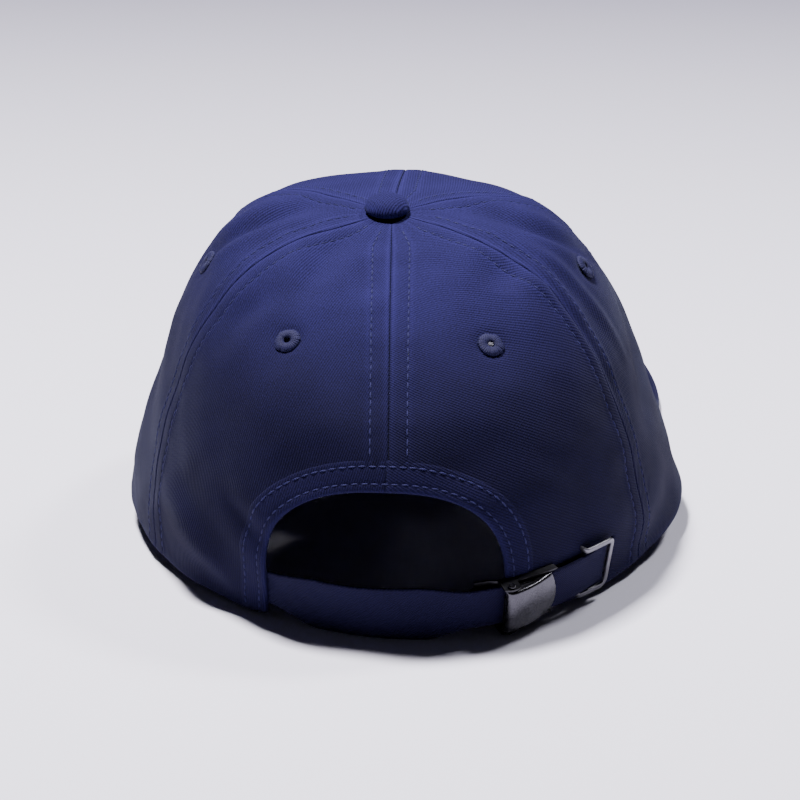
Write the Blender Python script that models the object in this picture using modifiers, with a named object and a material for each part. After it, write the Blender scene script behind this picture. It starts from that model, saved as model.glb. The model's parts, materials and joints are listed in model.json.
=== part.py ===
"""Baseball cap: six-panel cotton twill crown, curved visor, cloth strap with a cam lever buckle."""
import bpy
import bmesh
import numpy as np
from math import copysign, cos, degrees, hypot, pi, radians, sin, sqrt
from mathutils import Matrix, Vector

MM = 0.001

# crown, in the plane of the rim (Z up from the rim, Y to the rear, X to the wearer's left)
HALF_WIDTH = 91.2 * MM          # half the head opening, side to side
REAR_LENGTH = 99.3 * MM         # apex axis to the rear of the rim
FRONT_LENGTH = 91.7 * MM        # apex axis to the front of the rim
CROWN_HEIGHT = 94.8 * MM        # rim plane to apex
APEX_X = 3.5 * MM
APEX_Y = -0.6 * MM
BUTTON_X = 5.0 * MM             # the button sits a little to one side of the seams' meeting
BUTTON_R = 6.95 * MM
RIM_POWER = 1.93                # 2.0 would be an ellipse
TUCK = 4.9 * MM                 # how far the hem turns in under the crown at the rear
TUCK_HEIGHT = 12.7 * MM
HUMP = 0.0235                   # the two stiffened front panels stand a little above the button
FRONT_RAISE = 15.95 * MM         # the curved visor lifts the middle of the front rim
RIM_TILT = 6.0                  # degrees, front of the rim up when the cap stands

# cloth
TWILL = 1.0 * MM
GAP = 0.3 * MM
SEAMS = (-60.0, 0.0, 60.0, 120.0, 180.0, 240.0)   # turn from the rear, positive to the wearer's right
TOP_STOP = 0.972                # panels stop short of the apex, round the button's post
EYELETS = (("back_left", -31.0, 0.575), ("back_right", 30.5, 0.575), ("mid_right", 84.0, 0.575),
           ("mid_left", -84.0, 0.575), ("front_right", 150.0, 0.50), ("front_left", 210.0, 0.50))
EYELET_FLANGE = 4.5 * MM
EYELET_BORE = 1.75 * MM
EYELET_HOLE = 3.2 * MM          # cut in the cloth, round the eyelet's barrel
EYELET_BARREL = 2.85 * MM

# rear opening
ARCH_X = 1.5 * MM
ARCH_HALF = 36.0 * MM
ARCH_SPRING = 20.0 * MM
ARCH_TOP = 50.0 * MM
ARCH_POWER = 2.3

# strap: a band turned about an upright axis, so that it slides along itself
STRAP_X = -4.16 * MM
STRAP_Y = 29.71 * MM
STRAP_R = 69.14 * MM
STRAP_HALF = 7.0 * MM           # at the buckle; the free middle of the strap is deeper
STRAP_TALL = 9.7 * MM
STRAP_THICK = 1.3 * MM
STRAP_MID = 10.7 * MM
STRAP_FLOOR = -9.25 * MM        # the middle of the strap's lower edge lies flat on the table
TRIM = 0.6 * MM                 # cut off the lower edge to make it flat
STRAP_FROM = -44.0
STRAP_TO = 59.5
LEAN_LEFT = 14.0
LEAN_RIGHT = 8.5

# buckle, placed along the strap in degrees of the strap's own arc
PIN_TURN = 26.0
PIN_OUT = 2.9 * MM
PIN_R = 0.65 * MM
LEVER_LONG = 15.3 * MM
FRAME_FROM = PIN_TURN - 8.2
FRAME_TO = PIN_TURN + 13.8
KEEPER_MID = 55.0
SLOT_FROM = 52.5
SLOT_TO = 62.5

# visor
VISOR_SPAN = 62.0               # degrees each side of the front centre
VISOR_LONG = 70.5 * MM
VISOR_BULGE = 30.0 * MM         # how far the sides swell past the ends of the rim seam
VISOR_FALL = 0.145
VISOR_CURVE = 121.3 * MM
BOARD_THICK = 1.8 * MM
COVER_THICK = 0.7 * MM
VISOR_DROP = 0.6 * MM           # top of the visor below the front rim
ROOT_IN = 0.4 * MM              # visor reaches this far under the rim


for old in list(bpy.data.objects):
    bpy.data.objects.remove(old, do_unlink=True)

PART = bpy.data.collections.new("baseball_cap")
TOOLS = bpy.data.collections.new("cutters")
bpy.context.scene.collection.children.link(PART)
bpy.context.scene.collection.children.link(TOOLS)

# everything is drawn in the plane of the rim; this empty tilts the cap the way it stands
CAP = bpy.data.objects.new("cap", None)
CAP.rotation_euler = (radians(-RIM_TILT), 0.0, 0.0)
CAP.location = (0.0, 0.0, -STRAP_FLOOR)
PART.objects.link(CAP)


def material(name, colour, rough, metal=0.0):
    mat = bpy.data.materials.new(name)
    mat.use_nodes = True
    shader = mat.node_tree.nodes["Principled BSDF"]
    shader.inputs["Base Color"].default_value = (*colour, 1.0)
    shader.inputs["Roughness"].default_value = rough
    shader.inputs["Metallic"].default_value = metal
    return mat


NAVY = material("navy_twill", (0.022, 0.026, 0.085), 0.9)
NAVY_TAPE = material("navy_tape", (0.018, 0.021, 0.065), 0.9)
THREAD = material("navy_thread", (0.035, 0.042, 0.12), 0.7)
BUCKRAM = material("dark_buckram", (0.030, 0.031, 0.040), 0.95)
BOARD = material("visor_board", (0.80, 0.80, 0.78), 0.55)
SILVER = material("brushed_steel", (0.56, 0.56, 0.58), 0.32, 1.0)
LABEL = material("label_satin", (0.75, 0.75, 0.72), 0.5)


# ---- shape of the crown ---------------------------------------------------------------------

def visor_height(x, y):
    """Height of the surface the front rim is sewn to."""
    return FRONT_RAISE + VISOR_FALL * (y - APEX_Y + FRONT_LENGTH) - x * x / (2.0 * VISOR_CURVE)


def rim_plan(turn):
    c = cos(radians(turn))
    s = sin(radians(turn))
    half = REAR_LENGTH if c > 0.0 else FRONT_LENGTH
    x = -HALF_WIDTH * copysign(abs(s) ** (2.0 / RIM_POWER), s)
    return x, half * copysign(abs(c) ** (2.0 / RIM_POWER), c)


def tuck_at(turn):
    return TUCK / (92.0 * MM) * (0.35 + 0.325 * (1.0 + cos(radians(turn))))


def rim_raise(turn):
    x, y = rim_plan(turn)
    if y > 0.0:
        return 0.0
    g = 1.0 - tuck_at(turn)
    x = APEX_X + (x - APEX_X) * g
    y = APEX_Y + (y - APEX_Y) * g
    z = visor_height(x, y)
    return 0.5 * (z + sqrt(z * z + (1.2 * MM) ** 2))


MERIDIANS = {}


def meridian(turn):
    key = round(turn, 4)
    if key in MERIDIANS:
        return MERIDIANS[key]
    c = cos(radians(turn))
    s = sin(radians(turn))
    c2 = cos(radians(2.0 * turn))
    b = 0.5 * pi * np.linspace(0.0, 1.0, 240) ** 1.7
    rim_x, rim_y = rim_plan(turn)
    p = 0.718 + 0.147 * c + 0.407 * c2 + 0.032 * s
    q = 0.6235 - 0.022 * c + 0.049 * c2 + 0.018 * s
    k = 0.136 - 0.070 * c - 0.185 * c2
    h = np.sin(b) ** q
    g = np.cos(b) ** p * (1.0 - k * h)
    fade = np.exp(-(h * CROWN_HEIGHT / TUCK_HEIGHT) ** 2)
    g = g - tuck_at(turn) * fade * (1.0 - h)
    x = APEX_X + (rim_x - APEX_X) * g
    y = APEX_Y + (rim_y - APEX_Y) * g
    low = rim_raise(turn)
    z = low + (CROWN_HEIGHT - low) * (h + HUMP * ((1.0 - c) / 2.0) ** 2 * np.sin(2.0 * b) ** 2)
    steps = np.sqrt(np.diff(x) ** 2 + np.diff(y) ** 2 + np.diff(z) ** 2)
    run = np.concatenate([[0.0], np.cumsum(steps)])
    MERIDIANS[key] = (x, y, z, run)
    return MERIDIANS[key]


def skin(turn, rise):
    x, y, z, run = meridian(turn)
    d = rise * run[-1]
    return Vector((float(np.interp(d, run, x)), float(np.interp(d, run, y)), float(np.interp(d, run, z))))


def frame_at(turn, rise):
    """Point, sideways tangent (to the wearer's right), upward tangent and outward normal."""
    p = skin(turn, rise)
    side = skin(turn + 0.6, rise) - skin(turn - 0.6, rise)
    lo = max(rise - 0.006, 0.0)
    up = skin(turn, lo + 0.012) - skin(turn, lo)
    n = up.cross(side).normalized()
    if n.x * (p.x - APEX_X) + n.y * (p.y - APEX_Y) + n.z * 0.05 < 0.0:
        n = -n
    return p, side.normalized(), up.normalized(), n


def crown(turn, rise, out):
    p, side, up, n = frame_at(turn, rise)
    return p + n * out


def reach(turn, rise):
    p = skin(turn, rise)
    return max(hypot(p.x - APEX_X, p.y - APEX_Y), 1e-4)


def rise_at(turn, height):
    x, y, z, run = meridian(turn)
    return float(np.interp(height, z[: z.argmax() + 1], run[: z.argmax() + 1]) / run[-1])


# ---- makers -------------------------------------------------------------------------------------

INSIDE = Vector((0.0, 0.0, 0.03))       # a point the crown's outside faces away from


def finish(ob, mat, place=None, home=None):
    ob.data.materials.append(mat)
    (home or PART).objects.link(ob)
    ob.parent = CAP
    if place is not None:
        ob.matrix_local = place
    return ob


def from_bmesh(name, bm, mat, place=None, home=None, smooth=True):
    for f in bm.faces:
        f.smooth = smooth
    mesh = bpy.data.meshes.new(name)
    bm.to_mesh(mesh)
    bm.free()
    return finish(bpy.data.objects.new(name, mesh), mat, place, home)


def solidify(ob, thick, offset):
    mod = ob.modifiers.new("thickness", "SOLIDIFY")
    mod.thickness = thick
    mod.offset = offset
    mod.use_even_offset = True


def sheet(name, rows, cols, at, thick, mat, offset=-1.0, inside=INSIDE, place=None):
    """A grid laid over the points at(row, column) and thickened, away from the side that faces out."""
    bm = bmesh.new()
    bmesh.ops.create_grid(bm, x_segments=cols - 1, y_segments=rows - 1, size=1.0)
    for v in bm.verts:
        j = round((v.co.x + 1.0) * 0.5 * (cols - 1))
        i = round((v.co.y + 1.0) * 0.5 * (rows - 1))
        v.co = at(i, j)
    bm.normal_update()
    facing_out = sum(f.normal.dot(f.calc_center_median() - inside) for f in bm.faces)
    if facing_out < 0.0:
        bmesh.ops.reverse_faces(bm, faces=bm.faces)
    ob = from_bmesh(name, bm, mat, place)
    solidify(ob, thick, offset)
    return ob


def turned(name, profile, place, mat, count=20, home=None):
    """A closed (radius, height) outline turned about its own Z by a Screw modifier."""
    area = 0.0
    for (r0, z0), (r1, z1) in zip(profile, profile[1:] + profile[:1]):
        area += r0 * z1 - r1 * z0
    if area > 0.0:
        profile = list(reversed(profile))
    bm = bmesh.new()
    verts = [bm.verts.new((r, 0.0, z)) for r, z in profile]
    for a, b in zip(verts, verts[1:] + verts[:1]):
        if a.co.x > 0.0 or b.co.x > 0.0:
            bm.edges.new((a, b))
    ob = from_bmesh(name, bm, mat, place, home)
    mod = ob.modifiers.new("turn", "SCREW")
    mod.axis = "Z"
    mod.angle = 2.0 * pi
    mod.steps = count
    mod.render_steps = count
    mod.use_merge_vertices = True
    mod.merge_threshold = 0.00001
    mod.use_smooth_shade = True
    return ob


def rod_outline(r, low, high):
    return [(0.0, low), (r, low), (r, high), (0.0, high)]


def box(name, place, low, high, mat, home=None):
    bm = bmesh.new()
    bmesh.ops.create_cube(bm, size=1.0)
    for v in bm.verts:
        v.co = Vector([lo + (hi - lo) * (c + 0.5) for lo, hi, c in zip(low, high, v.co)])
    return from_bmesh(name, bm, mat, place, home, smooth=False)


def plate(name, outline, thick, place, mat, home=None):
    """A flat outline in the XZ plane, thickened evenly to both sides along Y."""
    bm = bmesh.new()
    bm.faces.new([bm.verts.new((x, 0.0, z)) for x, z in outline])
    ob = from_bmesh(name, bm, mat, place, home, smooth=False)
    solidify(ob, thick, 0.0)
    return ob


def cut(ob, tool, name):
    mod = ob.modifiers.new(name, "BOOLEAN")
    mod.operation = "DIFFERENCE"
    mod.solver = "EXACT"
    mod.object = tool
    tool.hide_render = True
    tool.display_type = "WIRE"


def axes(point, x_dir, y_dir, z_dir):
    m = Matrix((x_dir, y_dir, z_dir)).transposed().to_4x4()
    m.translation = point
    return m


def even(a, b, n):
    return [a + (b - a) * i / (n - 1) for i in range(n)]


# ---- strap frame --------------------------------------------------------------------------------

def lean_at(turn):
    k = min(max((turn + 20.0) / 33.0, 0.0), 1.0)
    k = k * k * (3.0 - 2.0 * k)
    return radians(LEAN_LEFT + (LEAN_RIGHT - LEAN_LEFT) * k)


def strap_point(turn, up, out, lean=None):
    w = lean_at(turn) if lean is None else lean
    a = radians(turn)
    r = STRAP_R + out * cos(w) + up * sin(w)
    return Vector((STRAP_X - r * sin(a), STRAP_Y + r * cos(a), STRAP_MID + up * cos(w) - out * sin(w)))


def strap_axes(turn):
    """Local axes on the strap: along (to the wearer's right), up the band, outward."""
    a = radians(turn)
    w = lean_at(turn)
    along = Vector((-cos(a), -sin(a), 0.0))
    away = Vector((-sin(a), cos(a), 0.0))
    up = Vector((away.x * sin(w), away.y * sin(w), cos(w)))
    out = Vector((away.x * cos(w), away.y * cos(w), -sin(w)))
    return axes(strap_point(turn, 0.0, 0.0), along, up, out)


# ---- crown panels -------------------------------------------------------------------------------

def panel_turn(lo, hi, u, rise):
    inset = degrees(0.5 * GAP / reach(0.5 * (lo + hi), rise))
    return lo + inset + u * (hi - lo - 2.0 * inset)


def shell(name, lo, hi, rise_lo, rise_hi, out, thick, mat, cols, rows, edge=0.0):
    us = even(0.0, 1.0, cols)
    rises = even(rise_lo, rise_hi, rows)

    def at(i, j):
        turn = panel_turn(lo, hi, us[j], rises[i])
        if edge > 0.0:
            turn += degrees(edge / reach(turn, rises[i])) * (1.0 - 2.0 * us[j])
        return crown(turn, rises[i], out)
    return sheet(name, rows, cols, at, thick, mat)


NAMES = ("back_left", "back_right", "mid_right", "front_right", "front_left", "mid_left")
panels = {}
for n, name in enumerate(NAMES):
    lo = SEAMS[n]
    panels[name] = shell("crown_panel_" + name, lo, lo + 60.0, 0.0, TOP_STOP, 0.0, TWILL, NAVY, 11, 16)

stiff = {}
for name, lo in (("front_right", 120.0), ("front_left", 180.0)):
    stiff[name] = shell("stiffener_" + name, lo, lo + 60.0, 0.03, 0.80,
                        -TWILL - 1.5 * GAP, 0.7 * MM, BUCKRAM, 8, 11, edge=1.2 * MM)

# rear opening, cut through both back panels
outline = []
for i in range(29):
    a = pi * i / 28.0
    x = ARCH_HALF * copysign(abs(cos(a)) ** (2.0 / ARCH_POWER), cos(a))
    z = ARCH_SPRING + (ARCH_TOP - ARCH_SPRING) * abs(sin(a)) ** (2.0 / ARCH_POWER)
    outline.append((ARCH_X + x, z))
outline = [(ARCH_X + ARCH_HALF, -8.0 * MM)] + outline + [(ARCH_X - ARCH_HALF, -8.0 * MM)]
arch_tool = plate("cut_arch", outline, 65.0 * MM, Matrix.Translation((0.0, 92.5 * MM, 0.0)), NAVY, home=TOOLS)
for name in ("back_left", "back_right"):
    cut(panels[name], arch_tool, "arch")

# slot for the strap's tail
slot_axes = strap_axes(0.5 * (SLOT_FROM + SLOT_TO))
half_l = radians(0.5 * (SLOT_TO - SLOT_FROM)) * STRAP_R


slot_up = STRAP_HALF + 0.35 * MM
slot_tool = box("cut_slot", slot_axes, (-half_l, -slot_up, -6 * MM), (half_l, slot_up, 6 * MM), NAVY, TOOLS)
cut(panels["back_right"], slot_tool, "slot")

# eyelets
for name, turn, rise in EYELETS:
    p, side, up, n = frame_at(turn, rise)
    ax = axes(p, side, n.cross(side).normalized(), n)
    deep = 3.2 * MM if name in stiff else 2.0 * MM
    hole = rod_outline(EYELET_HOLE, -6 * MM, 4 * MM)
    tool = turned("cut_eyelet_" + name, hole, ax, NAVY, 16, home=TOOLS)
    cut(panels[name], tool, "eyelet")
    if name in stiff:
        cut(stiff[name], tool, "eyelet")
    r0, r1, r2 = EYELET_BORE, EYELET_BARREL, EYELET_FLANGE
    turned("eyelet_" + name,
          [(r0, -deep), (r0, 0.70 * MM), (r0 + 0.5 * MM, 1.0 * MM), (r2 - 0.7 * MM, 0.95 * MM),
           (r2, 0.60 * MM), (r2, 0.36 * MM), (r1, 0.30 * MM), (r1, -deep)], ax, THREAD, 20)


# ---- seam tapes, arch facing, sweatband, label ------------------------------------------------------

def strip(name, turn, rise_lo, rise_hi, out, width, thick, mat, rows):
    rises = even(rise_lo, rise_hi, rows)

    def at(i, j):
        half = degrees(0.5 * width / reach(turn, rises[i]))
        return crown(turn + half * (j - 1), rises[i], out)
    return sheet(name, rows, 3, at, thick, mat)


TAPES = (("rear", 0.0, 0.405, -1.5), ("rear_right", 60.0, 0.215, -1.5), ("front_right", 120.0, 0.215, -2.8),
         ("front", 180.0, 0.215, -2.8), ("front_left", 240.0, 0.215, -2.8), ("rear_left", 300.0, 0.215, -1.5))
for name, turn, low, out in TAPES:
    strip("seam_tape_" + name, turn, low, 0.86, out * MM, 13.0 * MM, 0.5 * MM, NAVY_TAPE, 12)

FACING_WIDTH = 9.0 * MM


def arch_point(a, grow):
    """A point of the opening's edge, moved outward in the upright plane by grow."""
    x = ARCH_HALF * copysign(abs(cos(a)) ** (2.0 / ARCH_POWER), cos(a))
    z = ARCH_SPRING + (ARCH_TOP - ARCH_SPRING) * abs(sin(a)) ** (2.0 / ARCH_POWER)
    nx = copysign(abs(x / ARCH_HALF) ** (ARCH_POWER - 1.0), x) / ARCH_HALF
    nz = (abs((z - ARCH_SPRING) / (ARCH_TOP - ARCH_SPRING)) ** (ARCH_POWER - 1.0)) / (ARCH_TOP - ARCH_SPRING)
    length = max(hypot(nx, nz), 1e-9)
    return ARCH_X + x + grow * nx / length, z + grow * nz / length


def on_crown(x, z, out):
    """The point of the rear of the crown at a given x and height."""
    turn = 0.0
    rise = 0.2
    for n in range(14):
        rise = rise_at(turn, z)
        p = crown(turn, rise, out)
        turn += degrees((p.x - x) / max(p.y, 0.03))
    return crown(turn, rise_at(turn, z), out)


face_angles = even(radians(4.0), radians(176.0), 27)


def facing(i, j):
    x, z = arch_point(face_angles[i], 0.5 * MM + j * 0.5 * (FACING_WIDTH - 0.5 * MM))
    return on_crown(x, z, -1.5 * MM)


sheet("arch_facing", len(face_angles), 3, facing, 0.5 * MM, NAVY_TAPE)

BAND_FROM = 58.0
band_turns = even(BAND_FROM, 360.0 - BAND_FROM, 41)
band_heights = (1.2 * MM, 10.0 * MM, 20.0 * MM, 29.0 * MM)


def band_out(height):
    return -3.8 * MM - 0.05 * height


def band(i, j):
    turn = band_turns[j]
    h = rim_raise(turn) + band_heights[i] + 1.0 * MM
    return crown(turn, rise_at(turn, h), band_out(band_heights[i]))


sheet("sweatband", 4, len(band_turns), band, 1.1 * MM, NAVY_TAPE)
label_turns = even(96.0, 112.0, 5)
label_heights = (8.0 * MM, 18.0 * MM, 26.0 * MM)


def label(i, j):
    turn = label_turns[j]
    h = rim_raise(turn) + label_heights[i] + 1.0 * MM
    return crown(turn, rise_at(turn, h), band_out(label_heights[i]) - 1.4 * MM)


sheet("care_label", 3, 5, label, 0.3 * MM, LABEL)


# ---- button --------------------------------------------------------------------------------------

apex = axes(Vector((BUTTON_X, APEX_Y, CROWN_HEIGHT)), Vector((1, 0, 0)), Vector((0, 1, 0)), Vector((0, 0, 1)))
dome = []
for i in range(9):
    a = 0.5 * pi * i / 8.0
    dome.append((BUTTON_R * cos(a) ** 0.9 if i < 8 else 0.0, 1.5 * MM + 4.2 * MM * sin(a) ** 1.1))
inner = [(0.0, 4.8 * MM), (3.5 * MM, 4.25 * MM), (6.0 * MM, 1.9 * MM), (6.0 * MM, 1.0 * MM),
         (BUTTON_R - 0.1 * MM, 1.0 * MM)]
turned("button_cover", dome + inner, apex, NAVY, 24)
turned("button_shell", [(0.0, 4.5 * MM), (3.1 * MM, 3.9 * MM), (5.6 * MM, 1.9 * MM), (5.6 * MM, 1.1 * MM),
                       (5.0 * MM, 1.1 * MM), (5.0 * MM, 1.7 * MM), (3.0 * MM, 3.4 * MM), (1.6 * MM, 3.6 * MM),
                       (1.6 * MM, -1.0 * MM), (0.0, -1.0 * MM)], apex, SILVER, 24)
turned("button_rivet", [(0.0, -1.4 * MM), (1.7 * MM, -1.4 * MM), (1.7 * MM, -3.4 * MM), (6.5 * MM, -4.0 * MM),
                       (6.5 * MM, -4.6 * MM), (0.0, -4.9 * MM)], apex, SILVER, 20)


# ---- strap, buckle, tuck ring ----------------------------------------------------------------------

strap_turns = even(STRAP_FROM, STRAP_TO, 57)


def on_table(turn):
    """Height on the band, measured up from its middle, that reaches the table."""
    w = lean_at(turn)
    tilt = radians(RIM_TILT)
    c = cos(radians(turn))
    y = STRAP_Y + STRAP_R * c
    return (STRAP_FLOOR + y * sin(tilt) - STRAP_MID * cos(tilt)) / (cos(w) * cos(tilt) - sin(w) * sin(tilt) * c)


def strap_edges(turn):
    k = min(max((turn + 36.0) / 16.0, 0.0), 1.0) * min(max((17.0 - turn) / 14.0, 0.0), 1.0)
    k = k * k * (3.0 - 2.0 * k)
    low = on_table(turn) - TRIM
    return -STRAP_HALF + k * (low + STRAP_HALF), STRAP_HALF + k * (STRAP_TALL - STRAP_HALF)


HUB = Vector((STRAP_X, STRAP_Y, STRAP_MID))     # the strap slides by turning about this point's upright


def strap(i, j):
    lo, hi = strap_edges(strap_turns[j])
    return strap_point(strap_turns[j], lo + 0.5 * i * (hi - lo), 0.0) - HUB


strap_ob = sheet("strap", 3, len(strap_turns), strap, STRAP_THICK, NAVY, offset=0.0,
                 inside=Vector((0.0, 0.0, 0.0)), place=Matrix.Translation(HUB))
table = box("cut_table", None, (-60 * MM, 60 * MM, -20 * MM), (60 * MM, 160 * MM, 0.0), NAVY, TOOLS)
table.parent = None
cut(strap_ob, table, "flat foot")

pin_axes = strap_axes(PIN_TURN)
LEAN_B = lean_at(PIN_TURN)
CH_IN = 7.85 * MM
CH_OUT = 8.45 * MM
FLOOR = 0.6 * MM
FLOOR_TOP = -STRAP_THICK / 2 - GAP
BAR_TOP = -1.75 * MM
EAR_TOP = PIN_OUT + 1.5 * MM


def floor_top(turn):
    k = min(max((turn - PIN_TURN + 4.4) / 1.7, 0.0), 1.0)
    return BAR_TOP + (FLOOR_TOP - BAR_TOP) * k


def ear(turn):
    d = abs(radians(turn - PIN_TURN) * STRAP_R)
    if d < 2.8 * MM:
        return EAR_TOP - 0.9 * MM * (d / (2.8 * MM)) ** 2
    if turn < PIN_TURN:
        return floor_top(turn) + 0.05 * MM
    return FLOOR_TOP + 1.5 * MM


def channel(name, turns):
    """A shallow U bent along the strap; its floor and its walls change height from section to section."""
    section = ((-CH_OUT, 0), (CH_OUT, 0), (CH_OUT, 2), (CH_IN, 2),
               (CH_IN, 1), (-CH_IN, 1), (-CH_IN, 2), (-CH_OUT, 2))
    bm = bmesh.new()
    rings = []
    for turn in turns:
        levels = (floor_top(turn) - FLOOR, floor_top(turn), ear(turn))
        rings.append([bm.verts.new(strap_point(turn, up, levels[k], LEAN_B)) for up, k in section])
    for a, b in zip(rings, rings[1:]):
        for k in range(len(section)):
            m = (k + 1) % len(section)
            bm.faces.new((a[k], a[m], b[m], b[k]))
    for ring in (rings[0], rings[-1]):
        for c in ((0, 1, 4, 5), (1, 2, 3, 4), (0, 5, 6, 7)):
            bm.faces.new([ring[k] for k in c])
    bmesh.ops.recalc_face_normals(bm, faces=bm.faces)
    return from_bmesh(name, bm, SILVER, smooth=False)


frame = channel("buckle_frame", even(FRAME_FROM, 23.5, 9) + even(23.65, 28.4, 14) + even(28.6, FRAME_TO, 10))
pin_place = pin_axes @ Matrix.Translation((0, 0, PIN_OUT)) @ Matrix.Rotation(radians(-90), 4, "X")
bore_r = PIN_R + 0.2 * MM
bore = turned("cut_pin_bore", rod_outline(bore_r, -14 * MM, 14 * MM), pin_place, SILVER, 16, home=TOOLS)
cut(frame, bore, "bore")
tab_axes = strap_axes(PIN_TURN - 5.1)
tab_slot = box("cut_tab_slot", tab_axes, (-1.85 * MM, -5.7 * MM, -5 * MM), (1.85 * MM, 5.7 * MM, 1 * MM),
               SILVER, TOOLS)
cut(frame, tab_slot, "tab slot")
head = 1.15 * MM
turned("buckle_pin", [(0.0, -9.2 * MM), (0.8 * MM, -9.2 * MM), (head, -9.05 * MM), (head, -8.75 * MM),
                     (PIN_R, -8.7 * MM), (PIN_R, 8.7 * MM), (head, 8.75 * MM), (head, 9.05 * MM),
                     (0.8 * MM, 9.2 * MM), (0.0, 9.2 * MM)], pin_place, SILVER, 16)

# lever: plate with a cheek at each side; sections drawn in (along, out) about the pin
LV_OUT = 7.55 * MM
LV_IN = 6.95 * MM
END = LEVER_LONG
plate_top = [(-1.2 * MM, 1.9 * MM), (1.0 * MM, 2.05 * MM), (6.0 * MM, 0.9 * MM), (11.0 * MM, -0.9 * MM),
             (END, -2.6 * MM)]
plate_low = [(END, -3.2 * MM), (11.0 * MM, -1.52 * MM), (6.0 * MM, 0.3 * MM), (1.0 * MM, 1.43 * MM),
             (-1.2 * MM, 1.3 * MM)]
cheek_low = [(END - 0.2 * MM, -3.35 * MM), (9.0 * MM, -2.45 * MM), (4.0 * MM, -1.95 * MM),
             (1.2 * MM, -1.9 * MM), (-0.4 * MM, -1.85 * MM), (-1.3 * MM, -0.9 * MM)]


hinge = pin_axes @ Matrix.Translation((0, 0, PIN_OUT))
lever = plate("buckle_lever", plate_top + cheek_low, 2.0 * LV_OUT, hinge, SILVER)
past = END + 1.5 * MM
hollow = [(past, -3.79 * MM)] + plate_low[1:4] + [(-3.4 * MM, 1.3 * MM), (-3.4 * MM, -5 * MM), (past, -5 * MM)]
hollow_tool = plate("cut_lever_hollow", hollow, 2.0 * LV_IN, hinge, SILVER, home=TOOLS)
cut(lever, hollow_tool, "hollow")
CAM_R = 1.95 * MM
cam_section = []
for i in range(14):
    a = radians(200.0 + 140.0 * i / 13.0)
    cam_section.append((CAM_R * cos(a), CAM_R * sin(a)))
cam_section += [(1.6 * MM, 1.6 * MM), (-1.1 * MM, 1.6 * MM)]
cam = plate("join_cam", cam_section, 9.0 * MM, hinge, SILVER, home=TOOLS)
mod = lever.modifiers.new("cam", "BOOLEAN")
mod.operation = "UNION"
mod.solver = "EXACT"
mod.object = cam
cam.hide_render = True
cam.display_type = "WIRE"
cut(lever, bore, "bore")

# cloth tab: sewn behind the edge of the opening, round the frame's bar and back through its slot
TAB = 0.55 * MM
tab_path = ((29.2, -4.75), (26.7, -4.8), (24.6, -4.7), (23.2, -4.4), (21.8, -3.8), (20.4, -3.25),
            (18.8, -3.0), (17.9, -3.0), (17.3, -2.85), (16.95, -2.45), (16.9, -2.05), (17.1, -1.6),
            (17.6, -1.3), (18.4, -1.23), (19.4, -1.25), (20.2, -1.55), (20.8, -2.05), (21.4, -2.6))
TAB_HALF = 5.3 * MM


def tab(i, j):
    turn, out = tab_path[i]
    return strap_point(turn, (2 * j - 1) * TAB_HALF, out * MM, LEAN_B)


sheet("buckle_tab", len(tab_path), 2, tab, TAB, NAVY, offset=0.0)

# tuck keeper: a flat wire bent to a C over the strap's tail, its two ends clinched through the panel
keeper_axes = strap_axes(KEEPER_MID)
WIRE_R = 0.65 * MM
PRONG_HOLE = 1.05 * MM
ARM_U = 8.3 * MM
FAR_L = 5.8 * MM


def keeper_path():
    pts = [(-5.7, 0.0, o) for o in (-5.1, -3.4, -1.7)]
    for i in range(1, 5):
        a = 0.5 * pi * i / 4.0
        pts.append((-5.7 + 1.0 * (1.0 - cos(a)), 0.0, -1.7 + 1.6 * sin(a)))
    pts.append((0.0, 0.0, 0.6))
    for i in range(6):
        a = 0.5 * pi * i / 5.0
        pts.append((3.9 + 1.9 * sin(a), 1.9 * (cos(a) - 1.0), 1.25 + 0.03 * i))
    upper = [Vector((x * MM, ARM_U + y * MM, z * MM)) for x, y, z in pts]
    return upper + [Vector((p.x, -p.y, p.z)) for p in reversed(upper)]


wire = bpy.data.curves.new("tuck_keeper", "CURVE")
wire.dimensions = "3D"
wire.bevel_depth = WIRE_R
wire.bevel_resolution = 2
wire.use_fill_caps = True
spline = wire.splines.new("POLY")
path = keeper_path()
spline.points.add(len(path) - 1)
for point, p in zip(spline.points, path):
    point.co = (p.x, p.y, p.z, 1.0)
finish(bpy.data.objects.new("tuck_keeper", wire), SILVER, keeper_axes)
backing = box("keeper_plate", keeper_axes, (-7.5 * MM, -10.6 * MM, -4.7 * MM),
              (-3.9 * MM, 10.6 * MM, -4.1 * MM), SILVER)
for side, tag in ((1.0, "top"), (-1.0, "low")):
    place = keeper_axes @ Matrix.Translation((-5.7 * MM, side * ARM_U, 0.0))
    hole = rod_outline(PRONG_HOLE, -6 * MM, -1.2 * MM)
    prong = turned("cut_prong_" + tag, hole, place, SILVER, 14, home=TOOLS)
    cut(panels["back_right"], prong, "prong " + tag)
    cut(backing, prong, "prong " + tag)

# visor ---------------------------------------------------------------------------------------------

COLS = 33
EDGE_ROWS = 7


def root_edge(v, inset):
    turn = 180.0 + VISOR_SPAN * v
    p = skin(turn, 0.0)
    k = 1.0 - inset / hypot(p.x, p.y)
    return p.x * k, p.y * k


def visor_edge(v, inset):
    a = abs(v) * 0.5 * pi
    end_x, end_y = root_edge(1.0, 0.0)
    x = (abs(end_x) - inset) * sin(a) + VISOR_BULGE * sin(a) * cos(a) ** 0.8
    y = end_y - (FRONT_LENGTH + VISOR_LONG + end_y - inset) * cos(a) ** 0.75
    scale = 1.0 - inset / (95.0 * MM) * cos(a) ** 0.3
    return copysign(x * scale, v), y


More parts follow.
